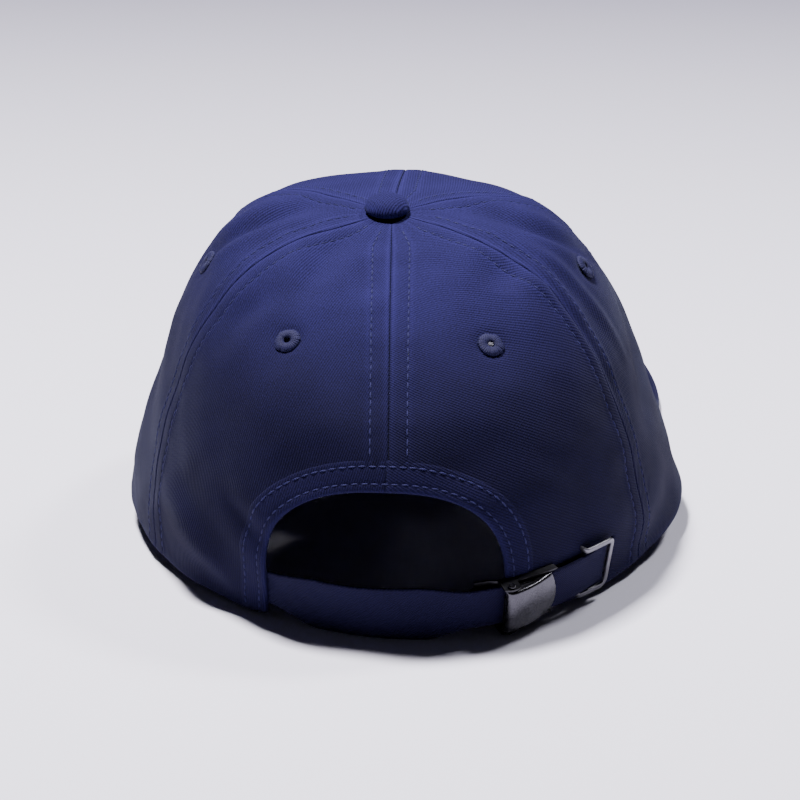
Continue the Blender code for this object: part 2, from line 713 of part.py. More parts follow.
def visor_sheet(name, depth, inset, thick, mat):
    def at(i, j):
        v = 1.0 - 2.0 * j / (COLS - 1)
        w = i / (EDGE_ROWS - 1)
        span = 1.0 - inset / (60.0 * MM)
        rx, ry = root_edge(v * span, ROOT_IN)
        ex, ey = visor_edge(v * span, inset)
        x = rx + (ex - rx) * w
        y = ry + (ey - ry) * w
        steeper = sqrt(1.0 + (x / VISOR_CURVE) ** 2 + VISOR_FALL ** 2)
        return Vector((x, y, visor_height(x, y) - VISOR_DROP - depth * steeper))
    return sheet(name, EDGE_ROWS, COLS, at, thick, mat, inside=Vector((0.0, -0.12, -1.0)))


board_depth = COVER_THICK + 0.25 * MM
under_depth = board_depth + BOARD_THICK + 0.25 * MM
visor_sheet("visor_top_cover", 0.0, 0.0, COVER_THICK, NAVY)
visor_sheet("visor_board", board_depth, 1.6 * MM, BOARD_THICK, BOARD)
visor_sheet("visor_under_cover", under_depth, 0.0, COVER_THICK, NAVY)


# ---- centre the cap on its bounding box ------------------------------------------------------------

depsgraph = bpy.context.evaluated_depsgraph_get()
points = []
for ob in PART.objects:
    if ob.type == "EMPTY":
        continue
    final = ob.evaluated_get(depsgraph)
    mesh = final.to_mesh()
    points += [final.matrix_world @ v.co for v in mesh.vertices]
    final.to_mesh_clear()
CAP.location.x = -0.5 * (min(v.x for v in points) + max(v.x for v in points))
CAP.location.y = -0.5 * (min(v.y for v in points) + max(v.y for v in points))
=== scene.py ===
import json
import bpy
import bmesh
import numpy as np
from math import atan2, cos, degrees, pi, radians, sin
from mathutils import Matrix, Vector


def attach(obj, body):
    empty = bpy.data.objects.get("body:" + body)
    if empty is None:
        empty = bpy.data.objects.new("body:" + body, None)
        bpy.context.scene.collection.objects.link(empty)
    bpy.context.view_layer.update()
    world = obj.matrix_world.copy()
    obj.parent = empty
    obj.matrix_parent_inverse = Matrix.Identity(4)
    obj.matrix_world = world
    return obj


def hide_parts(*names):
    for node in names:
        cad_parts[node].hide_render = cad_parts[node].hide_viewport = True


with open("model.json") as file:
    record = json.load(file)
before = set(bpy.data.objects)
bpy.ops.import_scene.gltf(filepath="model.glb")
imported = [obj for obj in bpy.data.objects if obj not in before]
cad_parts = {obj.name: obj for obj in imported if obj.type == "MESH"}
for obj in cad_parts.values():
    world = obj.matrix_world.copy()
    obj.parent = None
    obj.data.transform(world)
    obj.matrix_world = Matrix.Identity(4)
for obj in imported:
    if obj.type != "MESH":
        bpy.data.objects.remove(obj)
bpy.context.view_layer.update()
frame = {"nodes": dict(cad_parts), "record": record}

MM = 0.001
NODES = frame["nodes"]

# everything is worked out in the plane of the rim (Z up from it, Y to the rear, X to the wearer's left)
RIM = next(m for m in frame["record"]["mounts"] if m["name"] == "head_opening")
RIM_UP = -Vector(RIM["axis"])
TO_WORLD = Matrix.Translation(RIM["pos_m"]) @ Matrix.Rotation(-atan2(RIM_UP.y, RIM_UP.z), 4, "X")
TABLE_TOP = 0.0

# crown
HALF_WIDTH = 91.2 * MM
REAR_LENGTH = 99.3 * MM
FRONT_LENGTH = 91.7 * MM
CROWN_HEIGHT = 94.8 * MM
APEX = np.array((3.5 * MM, -0.6 * MM, CROWN_HEIGHT))
BUTTON = np.array((5.0 * MM, -0.6 * MM, CROWN_HEIGHT))
RIM_POWER = 1.93
TUCK = 4.9 * MM
TUCK_HEIGHT = 12.7 * MM
HUMP = 0.0235
FRONT_RAISE = 15.95 * MM
TOP_STOP = 0.972
PANELS = {"back_left": -60.0, "back_right": 0.0, "mid_right": 60.0,
          "front_right": 120.0, "front_left": 180.0, "mid_left": 240.0}
PANEL_SPAN = 60.0
CLOTH = 0.9 * MM                # thickness of the panels' twill
EYELETS = {"back_left": (-31.0, 0.575), "back_right": (30.5, 0.575), "mid_right": (84.0, 0.575),
           "mid_left": (276.0, 0.575), "front_right": (150.0, 0.50), "front_left": (210.0, 0.50)}

# rear opening
ARCH_X = 1.5 * MM
ARCH_HALF = 36.0 * MM
ARCH_SPRING = 20.0 * MM
ARCH_TOP = 50.0 * MM
ARCH_POWER = 2.3

# strap and buckle
STRAP_HUB = np.array((-4.16 * MM, 29.71 * MM, 10.7 * MM))
STRAP_R = 69.14 * MM
STRAP_HALF = 7.0 * MM
STRAP_TALL = 9.7 * MM
STRAP_THICK = 1.3 * MM
STRAP_FLOOR = -9.25 * MM
STRAP_TRIM = 0.6 * MM
STRAP_FROM = -44.0
STRAP_TO = 59.5
LEAN_LEFT = 14.0
LEAN_RIGHT = 8.5
RIM_TILT = 6.0
PIN_TURN = 26.0
PIN_OUT = 2.9 * MM
LEVER_LONG = 15.3 * MM
LEVER_HALF = 7.55 * MM
CAM_R = 1.95 * MM
KEEPER_TURN = 55.0
SLOT_FROM = 52.5
SLOT_TO = 62.5

# visor
VISOR_SPAN = 62.0
VISOR_LONG = 70.5 * MM
VISOR_BULGE = 30.0 * MM
VISOR_FALL = 0.145
VISOR_CURVE = 121.3 * MM
VISOR_THICK = 3.7 * MM          # both cloths and the board
VISOR_DROP = 0.6 * MM
VISOR_ROW_STEP = 6.0 * MM
VISOR_ROWS = 8

RNG = np.random.default_rng(11)


# ---- arithmetic ----

def signed_power(value, power):
    return np.sign(value) * np.abs(value) ** power


def smooth(value):
    k = np.clip(value, 0.0, 1.0)
    return k * k * (3.0 - 2.0 * k)


def bell(value):
    return np.exp(-value * value)


def unit(vectors):
    return vectors / np.maximum(np.linalg.norm(vectors, axis=-1, keepdims=True), 1e-12)


def circle(count):
    return np.linspace(0.0, 2.0 * pi, count, endpoint=False)


def path_lengths(path):
    return np.concatenate([[0.0], np.cumsum(np.linalg.norm(np.diff(path, axis=0), axis=1))])


def along(path, run, where):
    return np.stack([np.interp(where, run, path[:, axis]) for axis in range(3)], axis=-1)


def twill_uv(u, v, angle):
    """Flat positions on the cloth, turned by degrees so that the twill's lines run along V."""
    a = radians(angle)
    return np.stack([u * sin(a) - v * cos(a), u * cos(a) + v * sin(a)], axis=-1).reshape(-1, 2)


def to_world(points):
    m = np.array(TO_WORLD)
    return np.asarray(points).reshape(-1, 3) @ m[:3, :3].T + m[:3, 3]


def ripple(points, length, seed):
    """Smooth unevenness between about -1 and 1, with bumps about that far apart."""
    rng = np.random.default_rng(seed)
    total = np.zeros(points.shape[:-1])
    waves = 16
    for wave in range(waves):
        way = unit(rng.normal(size=3)) * 2.0 * pi / (length * rng.uniform(0.7, 1.5))
        total += np.sin(points @ way + rng.uniform(0.0, 2.0 * pi))
    return total / np.sqrt(waves)


# ---- the crown's plain surface, as a table over turn and rise ----

TURN_STEP = 0.5
TURNS = np.arange(-70.0, 310.0 + TURN_STEP, TURN_STEP)
RISES = np.linspace(0.0, 1.0, 401)


def rim_plan(turn):
    c = np.cos(np.radians(turn))
    s = np.sin(np.radians(turn))
    half = np.where(c > 0.0, REAR_LENGTH, FRONT_LENGTH)
    return -HALF_WIDTH * signed_power(s, 2.0 / RIM_POWER), half * signed_power(c, 2.0 / RIM_POWER)


def visor_height(x, y):
    return FRONT_RAISE + VISOR_FALL * (y - APEX[1] + FRONT_LENGTH) - x * x / (2.0 * VISOR_CURVE)


def tuck_at(turn):
    return TUCK / (92.0 * MM) * (0.35 + 0.325 * (1.0 + np.cos(np.radians(turn))))


def rim_raise(turn):
    x, y = rim_plan(turn)
    g = 1.0 - tuck_at(turn)
    z = visor_height(APEX[0] + (x - APEX[0]) * g, APEX[1] + (y - APEX[1]) * g)
    return np.where(y > 0.0, 0.0, 0.5 * (z + np.sqrt(z * z + (1.2 * MM) ** 2)))


def crown_table():
    turn = TURNS[:, None]
    c = np.cos(np.radians(turn))
    s = np.sin(np.radians(turn))
    c2 = np.cos(np.radians(2.0 * turn))
    b = 0.5 * pi * np.linspace(0.0, 1.0, 240)[None, :] ** 1.7
    rim_x, rim_y = rim_plan(turn)
    p = 0.718 + 0.147 * c + 0.407 * c2 + 0.032 * s
    q = 0.6235 - 0.022 * c + 0.049 * c2 + 0.018 * s
    k = 0.136 - 0.070 * c - 0.185 * c2
    h = np.sin(b) ** q
    g = np.cos(b) ** p * (1.0 - k * h)
    g = g - tuck_at(turn) * bell(h * CROWN_HEIGHT / TUCK_HEIGHT) * (1.0 - h)
    low = rim_raise(turn)
    hump = HUMP * ((1.0 - c) / 2.0) ** 2 * np.sin(2.0 * b) ** 2
    lines = np.stack([APEX[0] + (rim_x - APEX[0]) * g, APEX[1] + (rim_y - APEX[1]) * g,
                      low + (CROWN_HEIGHT - low) * (h + hump)], axis=-1)
    table = np.empty((len(TURNS), len(RISES), 3))
    for i, line in enumerate(lines):
        run = path_lengths(line)
        for axis in range(3):
            table[i, :, axis] = np.interp(RISES * run[-1], run, line[:, axis])
    return table


SKIN = crown_table()
SIDEWAYS = np.gradient(SKIN, TURN_STEP, axis=0)
UPWARD = np.gradient(SKIN, RISES[1], axis=1)
NORMALS = unit(np.cross(SIDEWAYS, UPWARD))
NORMALS[:, -1] = NORMALS[:, -2]
SPEED = np.linalg.norm(SIDEWAYS, axis=-1, keepdims=True)        # metres of cloth to a degree of turn
LENGTHS = np.linalg.norm(UPWARD, axis=-1).mean(axis=1)           # rim to apex over the curve


def look_up(table, turn, rise):
    turn, rise = np.broadcast_arrays(np.asarray(turn, float), np.asarray(rise, float))
    a = np.clip((turn - TURNS[0]) / TURN_STEP, 0.0, len(TURNS) - 1.001)
    b = np.clip(rise / RISES[1], 0.0, len(RISES) - 1.001)
    i = a.astype(int)
    j = b.astype(int)
    f = (a - i)[..., None]
    g = (b - j)[..., None]
    low = table[i, j] * (1.0 - f) + table[i + 1, j] * f
    high = table[i, j + 1] * (1.0 - f) + table[i + 1, j + 1] * f
    return low * (1.0 - g) + high * g


def over_skin(turn, rise, lift):
    """Points at a distance outward from the crown's plain surface."""
    return look_up(SKIN, turn, rise) + look_up(NORMALS, turn, rise) * np.asarray(lift)[..., None]


def rise_at(turn, height):
    """Rise at which one meridian reaches a height above the rim's plane."""
    line = SKIN[int(round((turn - TURNS[0]) / TURN_STEP)), :, 2]
    top = line.argmax() + 1
    return float(np.interp(height, line[:top], RISES[:top]))


# ---- relief of the sewn cloth ----

STITCH_ROW = 5.0 * MM           # topstitching, each side of a seam
ALLOWANCE = 5.9 * MM            # seam allowance pressed open under the cloth
SEAM_ROLL = 0.7 * MM            # radius at which the cloth turns down into a seam
NARROW = 2.3                    # a panel under this many edge bands wide has its seams' relief drawn in
RIGHT_SIDE = 85.0               # turns of the crown's two sides
LEFT_SIDE = 275.0
EDGE_STEPS = np.array((0.03, 0.15, 0.35, 0.6, 0.9, 1.5, 2.4, 3.4, 4.2, 4.65, 5.0, 5.35, 5.8, 6.4, 7.2)) * MM

# name: (turn, rise) along the fold, depth (a ridge is negative), width
FOLDS = {
    "back_left_long": (((-50.0, 0.90), (-40.0, 0.80), (-35.0, 0.73), (-36.0, 0.66)), 1.5 * MM, 4.6 * MM),
    "back_left_short": (((-48.5, 0.67), (-46.0, 0.60), (-51.5, 0.52)), 1.2 * MM, 4.5 * MM),
    "shoulder_left": (((255.0, 0.84), (272.0, 0.79), (283.0, 0.69), (266.0, 0.55)), 3.0 * MM, 4.2 * MM),
    "shoulder_right": (((103.0, 0.84), (84.0, 0.75), (85.0, 0.66), (101.0, 0.55)), 2.8 * MM, 4.2 * MM),
    "dent_right": (((44.0, 0.66), (51.0, 0.71), (60.0, 0.71)), 2.3 * MM, 6.0 * MM),
    "crease_right": (((62.0, 0.72), (59.0, 0.60), (61.5, 0.50), (61.5, 0.33)), 0.9 * MM, 1.9 * MM),
    "ridge_right": (((70.0, 0.80), (70.0, 0.68), (73.0, 0.56), (74.0, 0.40)), -0.9 * MM, 2.6 * MM),
    "arch_left": (((-36.0, 0.25), (-30.5, 0.21), (-24.0, 0.18)), 1.1 * MM, 3.8 * MM),
    "arch_dip_left": (((-25.0, 0.36), (-16.0, 0.33), (-5.0, 0.32)), 1.3 * MM, 8.0 * MM),
    "arch_dip_right": (((5.0, 0.32), (14.0, 0.34), (26.0, 0.40)), 1.3 * MM, 8.0 * MM),
    "patch_left": (((-57.0, 0.20), (-41.5, 0.12), (-30.0, 0.02)), -1.0 * MM, 5.0 * MM),
    "patch_right": (((30.0, 0.28), (46.0, 0.19), (62.0, 0.07)), -1.0 * MM, 5.0 * MM),
    "front_left_soft": (((196.0, 0.62), (207.0, 0.68), (222.0, 0.66)), 0.5 * MM, 8.0 * MM),
    "front_right_soft": (((165.0, 0.60), (152.0, 0.67), (138.0, 0.64)), 0.5 * MM, 8.0 * MM),
    "mid_left_low": (((262.0, 0.40), (272.0, 0.30), (288.0, 0.28)), 1.1 * MM, 6.0 * MM),
    "mid_right_low": (((98.0, 0.42), (88.0, 0.31), (74.0, 0.27)), 1.1 * MM, 6.0 * MM),
}


def fold_path(controls):
    """A smooth line drawn out by a few controls (a Bezier curve), on the crown's plain surface."""
    t = np.linspace(0.0, 1.0, 40)[:, None]
    level = [np.array(c)[None, :] for c in controls]
    while len(level) > 1:
        level = [a * (1.0 - t) + b * t for a, b in zip(level, level[1:])]
    return look_up(SKIN, level[0][:, 0], level[0][:, 1])


FOLD_LINES = {name: fold_path(controls) for name, (controls, depth, width) in FOLDS.items()}


def folds(points):
    """How far the soft folds and dents move the cloth in or out."""
    total = np.zeros(points.shape[:-1])
    for name, (controls, depth, width) in FOLDS.items():
        line = FOLD_LINES[name]
        gap = np.linalg.norm(points[..., None, :] - line, axis=-1)
        near = gap.argmin(axis=-1)
        away = gap.min(axis=-1) / width
        fade = 0.25 + 0.75 * np.sin(pi * near / (len(line) - 1.0))
        total += depth * fade * (0.35 * bell((away - 2.0) / 0.9) - bell(away))
    return total


def narrowing(step):
    """How far the seams' relief is drawn in, from the metres of cloth to a degree of turn."""
    return np.clip(PANEL_SPAN * step / (NARROW * EDGE_STEPS[-1]), 0.02, 1.0)


def seam_distance(turn, rise):
    """Distance from the nearest seam over the cloth, drawn in where the panels narrow to the button."""
    seam = PANEL_SPAN * np.round(turn / PANEL_SPAN)
    step = look_up(SPEED, seam, rise)[..., 0]
    narrow = narrowing(step)
    return np.abs(turn - seam) * step / narrow, narrow, seam


def eyelet_dent(points):
    total = np.zeros(points.shape[:-1])
    for turn, rise in EYELETS.values():
        gap = np.linalg.norm(points - look_up(SKIN, turn, rise), axis=-1)
        total -= 0.55 * MM * bell((gap - 3.2 * MM) / (2.2 * MM))
    return total


def unevenness(points):
    return 0.42 * MM * ripple(points, 34.0 * MM, 5) + 0.10 * MM * ripple(points, 11.0 * MM, 6)


def relief(turn, rise):
    """Everything the sewn cloth does in or out of the crown's plain surface."""
    turn, rise = np.broadcast_arrays(np.asarray(turn, float), np.asarray(rise, float))
    points = look_up(SKIN, turn, rise)
    d, narrow, seam = seam_distance(turn, rise)
    roll = 1.0 - np.clip(d / SEAM_ROLL, 0.0, 1.0)
    out = -0.60 * MM * (1.0 - np.sqrt(np.maximum(1.0 - roll * roll, 0.0)))
    out = out + 0.26 * MM * (1.0 - smooth((d - ALLOWANCE + 0.5 * MM) / (1.3 * MM)))
    out = out - 0.30 * MM * bell((d - STITCH_ROW) / (0.5 * MM))
    climb = np.stack([rise * 150.0 * MM, seam * MM, np.zeros_like(rise)], axis=-1)
    out = out + 0.13 * MM * ripple(climb, 7.0 * MM, 3) * bell((d - STITCH_ROW) / (2.6 * MM))
    out = out * narrow
    out = out + unevenness(points)
    unbacked = smooth((np.abs(turn - 180.0) - 50.0) / 12.0)     # the backed front panels hold smooth
    out = out + folds(points) * (0.35 + 0.65 * unbacked) + eyelet_dent(points)
    around = np.mod(turn, 360.0)
    side = np.minimum(np.abs(around - RIGHT_SIDE), np.abs(around - LEFT_SIDE))
    flare = bell((around - RIGHT_SIDE) / 30.0) * smooth((around - 60.0) / 16.0)
    out = out + 3.0 * MM * flare * bell(rise / 0.05)
    out = out + 0.7 * MM * bell((around - LEFT_SIDE) / 30.0) * bell((rise - 0.03) / 0.04)
    out = out - 0.7 * MM * bell(side / 26.0) * bell((rise - 0.24) / 0.10)
    out = out - 0.4 * MM * bell((np.abs(turn - 180.0) - 30.0) / 15.0) * bell((rise - 0.78) / 0.14)
    return out * smooth((1.0 - rise) / 0.06)


def cloth(turn, rise, out=0.0):
    """Points of the crown's sewn surface, with a further distance outward."""
    return over_skin(turn, rise, relief(turn, rise) + out)


# ---- makers ----

def grid_faces(rows, cols, closed=False):
    """Quads over a grid of points held row by row; closed joins the last column to the first."""
    a = np.arange(rows - 1)[:, None] * cols
    j = np.arange(cols if closed else cols - 1)[None, :]
    k = (j + 1) % cols
    return np.stack([a + j, a + k, a + cols + k, a + cols + j], axis=-1).reshape(-1, 4)


def closed_faces(rows, cols):
    """The quads of a tube, and a flat lid on each end."""
    faces = grid_faces(rows, cols, closed=True).tolist()
    return faces + [list(range(cols))[::-1], [(rows - 1) * cols + k for k in range(cols)]]


def make(name, points, faces, mat, body, replaced=None, uv=None, closed=False):
    """A mesh of points in the rim's frame that rides on a body; uv is in metres, a pair to a point."""
    mesh = bpy.data.meshes.new(name)
    world = to_world(points)
    world[:, 2] = np.maximum(world[:, 2], TABLE_TOP)
    mesh.from_pydata(world.tolist(), [], [list(map(int, f)) for f in faces])
    if uv is not None:
        corners = np.empty(len(mesh.loops), dtype=np.int32)
        mesh.loops.foreach_get("vertex_index", corners)
        mesh.uv_layers.new(name="UVMap").data.foreach_set(
            "uv", uv.reshape(-1, 2)[corners].astype(np.float32).ravel())
    if closed:
        bm = bmesh.new()
        bm.from_mesh(mesh)
        bmesh.ops.recalc_face_normals(bm, faces=bm.faces)
        bm.to_mesh(mesh)
        bm.free()
    mesh.polygons.foreach_set("use_smooth", [True] * len(mesh.polygons))
    mesh.materials.append(mat)
    ob = bpy.data.objects.new(name, mesh)
    bpy.context.scene.collection.objects.link(ob)
    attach(ob, body)
    if replaced:
        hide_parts(replaced)
    return ob


def thicken(ob, thick, offset=-1.0):
    mod = ob.modifiers.new("thickness", "SOLIDIFY")
    mod.thickness = thick
    mod.offset = offset


def soften(ob, width):
    mod = ob.modifiers.new("weld", "WELD")
    mod.merge_threshold = 0.00001
    mod = ob.modifiers.new("worn edges", "BEVEL")
    mod.width = width
    mod.segments = 2
    mod.limit_method = "ANGLE"
    mod.angle_limit = radians(35.0)


def add_value(ob, name, values):
    made = ob.data.attributes.new(name, "FLOAT", "POINT")
    made.data.foreach_set("value", values.astype(np.float32).ravel())


STITCH_PITCH = 3.0 * MM
STITCH_LONG = 2.35 * MM
THREAD_R = 0.27 * MM
THREAD_RINGS = 7
THREAD_SIDES = 7


def stitch_row(name, path, normals, body):
    """A row of stitches: short lengths of thread whose ends go down into the cloth."""
    run = path_lengths(path)
    starts = np.arange(0.4 * STITCH_PITCH, run[-1] - STITCH_PITCH, STITCH_PITCH)
    starts = starts + RNG.uniform(-0.06, 0.06, len(starts)) * STITCH_PITCH
    a = along(path, run, starts)
    b = along(path, run, starts + STITCH_LONG)
    way = unit(b - a)
    n = along(normals, run, starts + 0.5 * STITCH_LONG)
    n = unit(n - way * (n * way).sum(axis=-1, keepdims=True))
    side = np.cross(n, way)
    way = unit(way + side * RNG.uniform(-0.05, 0.05, (len(starts), 1)))
    t = np.linspace(0.0, 1.0, THREAD_RINGS)
    angle = circle(THREAD_SIDES)
    fat = THREAD_R * np.maximum(np.sin(pi * t), 0.10) ** 0.45
    rise = THREAD_R * (0.5 * np.sin(pi * t) ** 0.6 - 0.35)
    middle = a[:, None, :] + way[:, None, :] * (t * STITCH_LONG)[:, None] + n[:, None, :] * rise[:, None]
    ring = (n[:, None, None, :] * np.cos(angle)[:, None] + side[:, None, None, :] * np.sin(angle)[:, None])
    points = middle[:, :, None, :] + ring * fat[:, None, None]
    shape = closed_faces(THREAD_RINGS, THREAD_SIDES)
    size = THREAD_RINGS * THREAD_SIDES
    faces = [[k + size * stitch for k in face] for stitch in range(len(starts)) for face in shape]
    u = np.broadcast_to((t * STITCH_LONG)[:, None], points.shape[:3])
    v = np.broadcast_to(angle * THREAD_R, points.shape[:3])
    make(name, points, faces, THREAD, body, uv=np.stack([u, v], axis=-1))


def sweep(name, path, ups, section, mat, body, replaced=None):
    """A closed section, in (side, up) offsets, carried along a path, with flat ends."""
    way = unit(np.gradient(path, axis=0))
    up = unit(ups - way * (ups * way).sum(axis=-1, keepdims=True))
    side = np.cross(way, up)
    points = path[:, None, :] + side[:, None, :] * section[:, :1] + up[:, None, :] * section[:, 1:]
    return make(name, points, closed_faces(*points.shape[:2]), mat, body, replaced, closed=True)


def rounded_section(half_side, half_up, power, count=20):
    a = circle(count)
    return np.stack([half_side * signed_power(np.cos(a), power),
                     half_up * signed_power(np.sin(a), power)], axis=-1)


# ---- materials ----

class Look:
    """A material built of nodes by short calls; an input takes a number, a colour or a socket."""

    def __init__(self, name, roughness, metallic=0.0, sheen=0.0, specular=0.5, anisotropic=0.0):
        self.mat = bpy.data.materials.new(name)
        self.mat.use_nodes = True
        self.tree = self.mat.node_tree
        self.inputs = self.tree.nodes["Principled BSDF"].inputs
        self.inputs["Roughness"].default_value = roughness
        self.inputs["Metallic"].default_value = metallic
        self.inputs["Sheen Weight"].default_value = sheen
        self.inputs["Sheen Roughness"].default_value = 0.4
        self.inputs["Sheen Tint"].default_value = (0.62, 0.68, 1.0, 1.0)
        self.inputs["Specular IOR Level"].default_value = specular
        self.inputs["Anisotropic"].default_value = anisotropic

    def node(self, kind, **settings):
        made = self.tree.nodes.new(kind)
        for key, value in settings.items():
            setattr(made, key, value)
        return made

    def feed(self, socket, value):
        if isinstance(value, bpy.types.NodeSocket):
            self.tree.links.new(value, socket)
        elif isinstance(value, tuple):
            socket.default_value = (*value, 1.0)
        else:
            socket.default_value = value

    def math(self, operation, a, b=0.0):
        made = self.node("ShaderNodeMath", operation=operation)
        self.feed(made.inputs[0], a)
        self.feed(made.inputs[1], b)
        return made.outputs[0]

    def weigh(self, *pairs):
        """Sum of value times weight."""
        total = 0.0
        for value, weight in pairs:
            total = self.math("ADD", self.math("MULTIPLY", value, weight), total)
        return total

    def mix(self, factor, a, b):
        made = self.node("ShaderNodeMix", data_type="RGBA")
        self.feed(made.inputs["Factor"], factor)
        self.feed(made.inputs[6], a)
        self.feed(made.inputs[7], b)
        return made.outputs[2]

    def noise(self, place, size, detail=3.0):
        """Noise between 0 and 1 whose blotches are about that size, in metres."""
        made = self.node("ShaderNodeTexNoise")
        self.feed(made.inputs["Vector"], place)
        made.inputs["Scale"].default_value = 1.0 / size
        made.inputs["Detail"].default_value = detail
        return made.outputs["Fac"]

    def wave(self, coordinate, pitch, shift=0.0):
        """A sine between -1 and 1 along a coordinate in metres."""
        turns = self.math("MULTIPLY", coordinate, 2.0 * pi / pitch)
        return self.math("SINE", self.math("ADD", turns, shift))

    def split(self, vector):
        made = self.node("ShaderNodeSeparateXYZ")
        self.feed(made.inputs[0], vector)
        return made.outputs

    def combine(self, x, y, z):
        made = self.node("ShaderNodeCombineXYZ")
        for socket, value in zip(made.inputs, (x, y, z)):
            self.feed(socket, value)
        return made.outputs[0]

    def place(self, flat):
        """Position on the cloth (its UV map, in metres) or in space (the object's own metres)."""
        return self.node("ShaderNodeTexCoord").outputs["UV" if flat else "Object"]

    def value(self, name):
        return self.node("ShaderNodeAttribute", attribute_name=name).outputs["Fac"]

    def bump(self, height, distance):
        made = self.node("ShaderNodeBump")
        made.inputs["Distance"].default_value = distance
        self.feed(made.inputs["Height"], height)
        self.feed(self.inputs["Normal"], made.outputs[0])

    def tones(self, factor, deep, pale):
        """Colour the material between two tones, and hand it over."""
        self.feed(self.inputs["Base Color"], self.mix(factor, deep, pale))
        return self.mat


TWILL_PITCH = 0.78 * MM
BLACK = (0.0, 0.0, 0.0)


def twill(name, deep, pale):
    """Cotton twill: diagonal lines of warp floats, a little fuzz, uneven dye.

    The value "wear" lightens it at rubbed edges; the value "unfaded" paints shade on it, darkening it low on
    the crown where less light falls.
    """
    look = Look(name, 0.9, sheen=0.03, specular=0.10)
    place = look.place(True)
    broad = look.noise(place, 14.0 * MM)
    fine = look.noise(place, 0.55 * MM, 2.0)
    x, y, z = look.split(place)
    wale = look.wave(x, TWILL_PITCH, look.weigh((broad, 2.2), (fine, 1.7)))
    yarn = look.wave(y, 1.15 * TWILL_PITCH, look.math("MULTIPLY", x, pi / TWILL_PITCH))
    look.bump(look.weigh((wale, 0.55), (yarn, 0.17), (fine, 0.75)), 0.085 * MM)
    tone = look.math("ADD", look.weigh((wale, 0.13), (yarn, 0.06), (broad, 0.35), (fine, 1.25)), -0.38)
    tone = look.weigh((look.value("wear"), 0.30), (tone, 1.0))
    shade = look.mix(look.math("MINIMUM", look.math("MAXIMUM", tone, 0.0), 1.0), deep, pale)
    look.feed(look.inputs["Roughness"], look.weigh((fine, 0.16), (0.78, 1.0)))
    # painted shade: the colour is darkened towards black by up to 64% where the shade value asks
    return look.tones(look.math("MULTIPLY", look.value("painted_shade_amount"), 0.64), shade, BLACK)


def tape(name, deep, pale, flat=True):
    """Herringbone tape: the diagonal turns back at the middle of the tape."""
    look = Look(name, 0.88, sheen=0.2, specular=0.25)
    place = look.place(flat)
    fine = look.noise(place, 0.6 * MM, 2.0)
    x, y, z = look.split(place)
    if flat:
        diagonal = look.weigh((look.math("ABSOLUTE", x), 0.7), (y, 0.7))
    else:
        diagonal = look.weigh((x, 0.6), (y, 0.4), (z, 0.7))
    rib = look.wave(diagonal, 0.9 * MM, look.math("MULTIPLY", fine, 1.5))
    look.bump(look.weigh((rib, 0.5), (fine, 0.8)), 0.10 * MM)
    return look.tones(look.weigh((rib, 0.20), (fine, 0.9)), deep, pale)


def thread(name, deep, pale):
    """Two-ply sewing thread, twisted, with a slight shine."""
    look = Look(name, 0.65, sheen=0.05, specular=0.2)
    place = look.place(True)
    x, y, z = look.split(place)
    twist = look.wave(look.weigh((x, 1.0), (y, 1.6)), 0.62 * MM)
    fine = look.noise(place, 0.25 * MM, 2.0)
    look.bump(look.weigh((twist, 0.5), (fine, 0.3)), 0.06 * MM)
    return look.tones(look.weigh((twist, 0.28), (fine, 0.8)), deep, pale)


def buckram(name, deep, pale):
    """Open stiffened net behind the front panels."""
    look = Look(name, 0.8, specular=0.3)
    place = look.place(False)
    x, y, z = look.split(place)
    warp = look.wave(look.weigh((x, 0.95), (y, 0.3)), 1.3 * MM)
    net = look.math("MAXIMUM", warp, look.wave(z, 1.3 * MM))
    fine = look.noise(place, 0.5 * MM)
    look.bump(look.weigh((net, 0.5), (fine, 0.4)), 0.15 * MM)
    return look.tones(look.weigh((net, 0.35), (fine, 0.7)), deep, pale)


def steel(name, deep, pale, grain=(0.9, 0.4, 0.0), roughness=0.33):
    """Brushed plated steel: fine scratches along one direction, and dull blotches."""
    look = Look(name, roughness, metallic=1.0, anisotropic=0.35)
    place = look.place(False)
    drawn = [look.math("MULTIPLY", k, 1.0 - 0.93 * g) for k, g in zip(look.split(place), grain)]
    scratch = look.noise(look.combine(*drawn), 0.22 * MM, 4.0)
    blotch = look.noise(place, 3.0 * MM)
    look.bump(scratch, 0.012 * MM)
    dull = look.weigh((scratch, 0.22), (blotch, 0.14), (roughness - 0.16, 1.0))
    look.feed(look.inputs["Roughness"], dull)
    return look.tones(look.weigh((scratch, 0.6), (blotch, 0.5)), deep, pale)


def satin(name, deep, pale):
    """Woven label: close horizontal ribs with a soft shine, and nothing printed on it."""
    look = Look(name, 0.45, sheen=0.15)
    place = look.place(False)
    rib = look.wave(look.split(place)[2], 0.35 * MM)
    fine = look.noise(place, 0.8 * MM)
    look.bump(look.weigh((rib, 0.5), (fine, 0.4)), 0.03 * MM)
    return look.tones(look.weigh((rib, 0.15), (fine, 0.8)), deep, pale)


def board(name, deep, pale):
    """Pressed plastic board with a slight orange-peel face."""
    look = Look(name, 0.5)
    place = look.place(False)
    peel = look.noise(place, 1.2 * MM)
    look.bump(peel, 0.04 * MM)
    return look.tones(look.weigh((peel, 0.4), (look.noise(place, 20.0 * MM), 0.6)), deep, pale)


def paper(name, deep, pale):
    """Pale studio paper with painted shade: its colour darkens away behind the cap, where less light reaches.
    """
    look = Look(name, 0.75, specular=0.2)
    place = look.place(False)
    near = look.node("ShaderNodeMapRange", interpolation_type="SMOOTHSTEP")
    look.feed(near.inputs["Value"], look.split(place)[1])
    near.inputs["From Min"].default_value = -1.1
    near.inputs["From Max"].default_value = 0.15
    look.bump(look.noise(place, 2.0 * MM), 0.02 * MM)
    return look.tones(near.outputs[0], deep, pale)


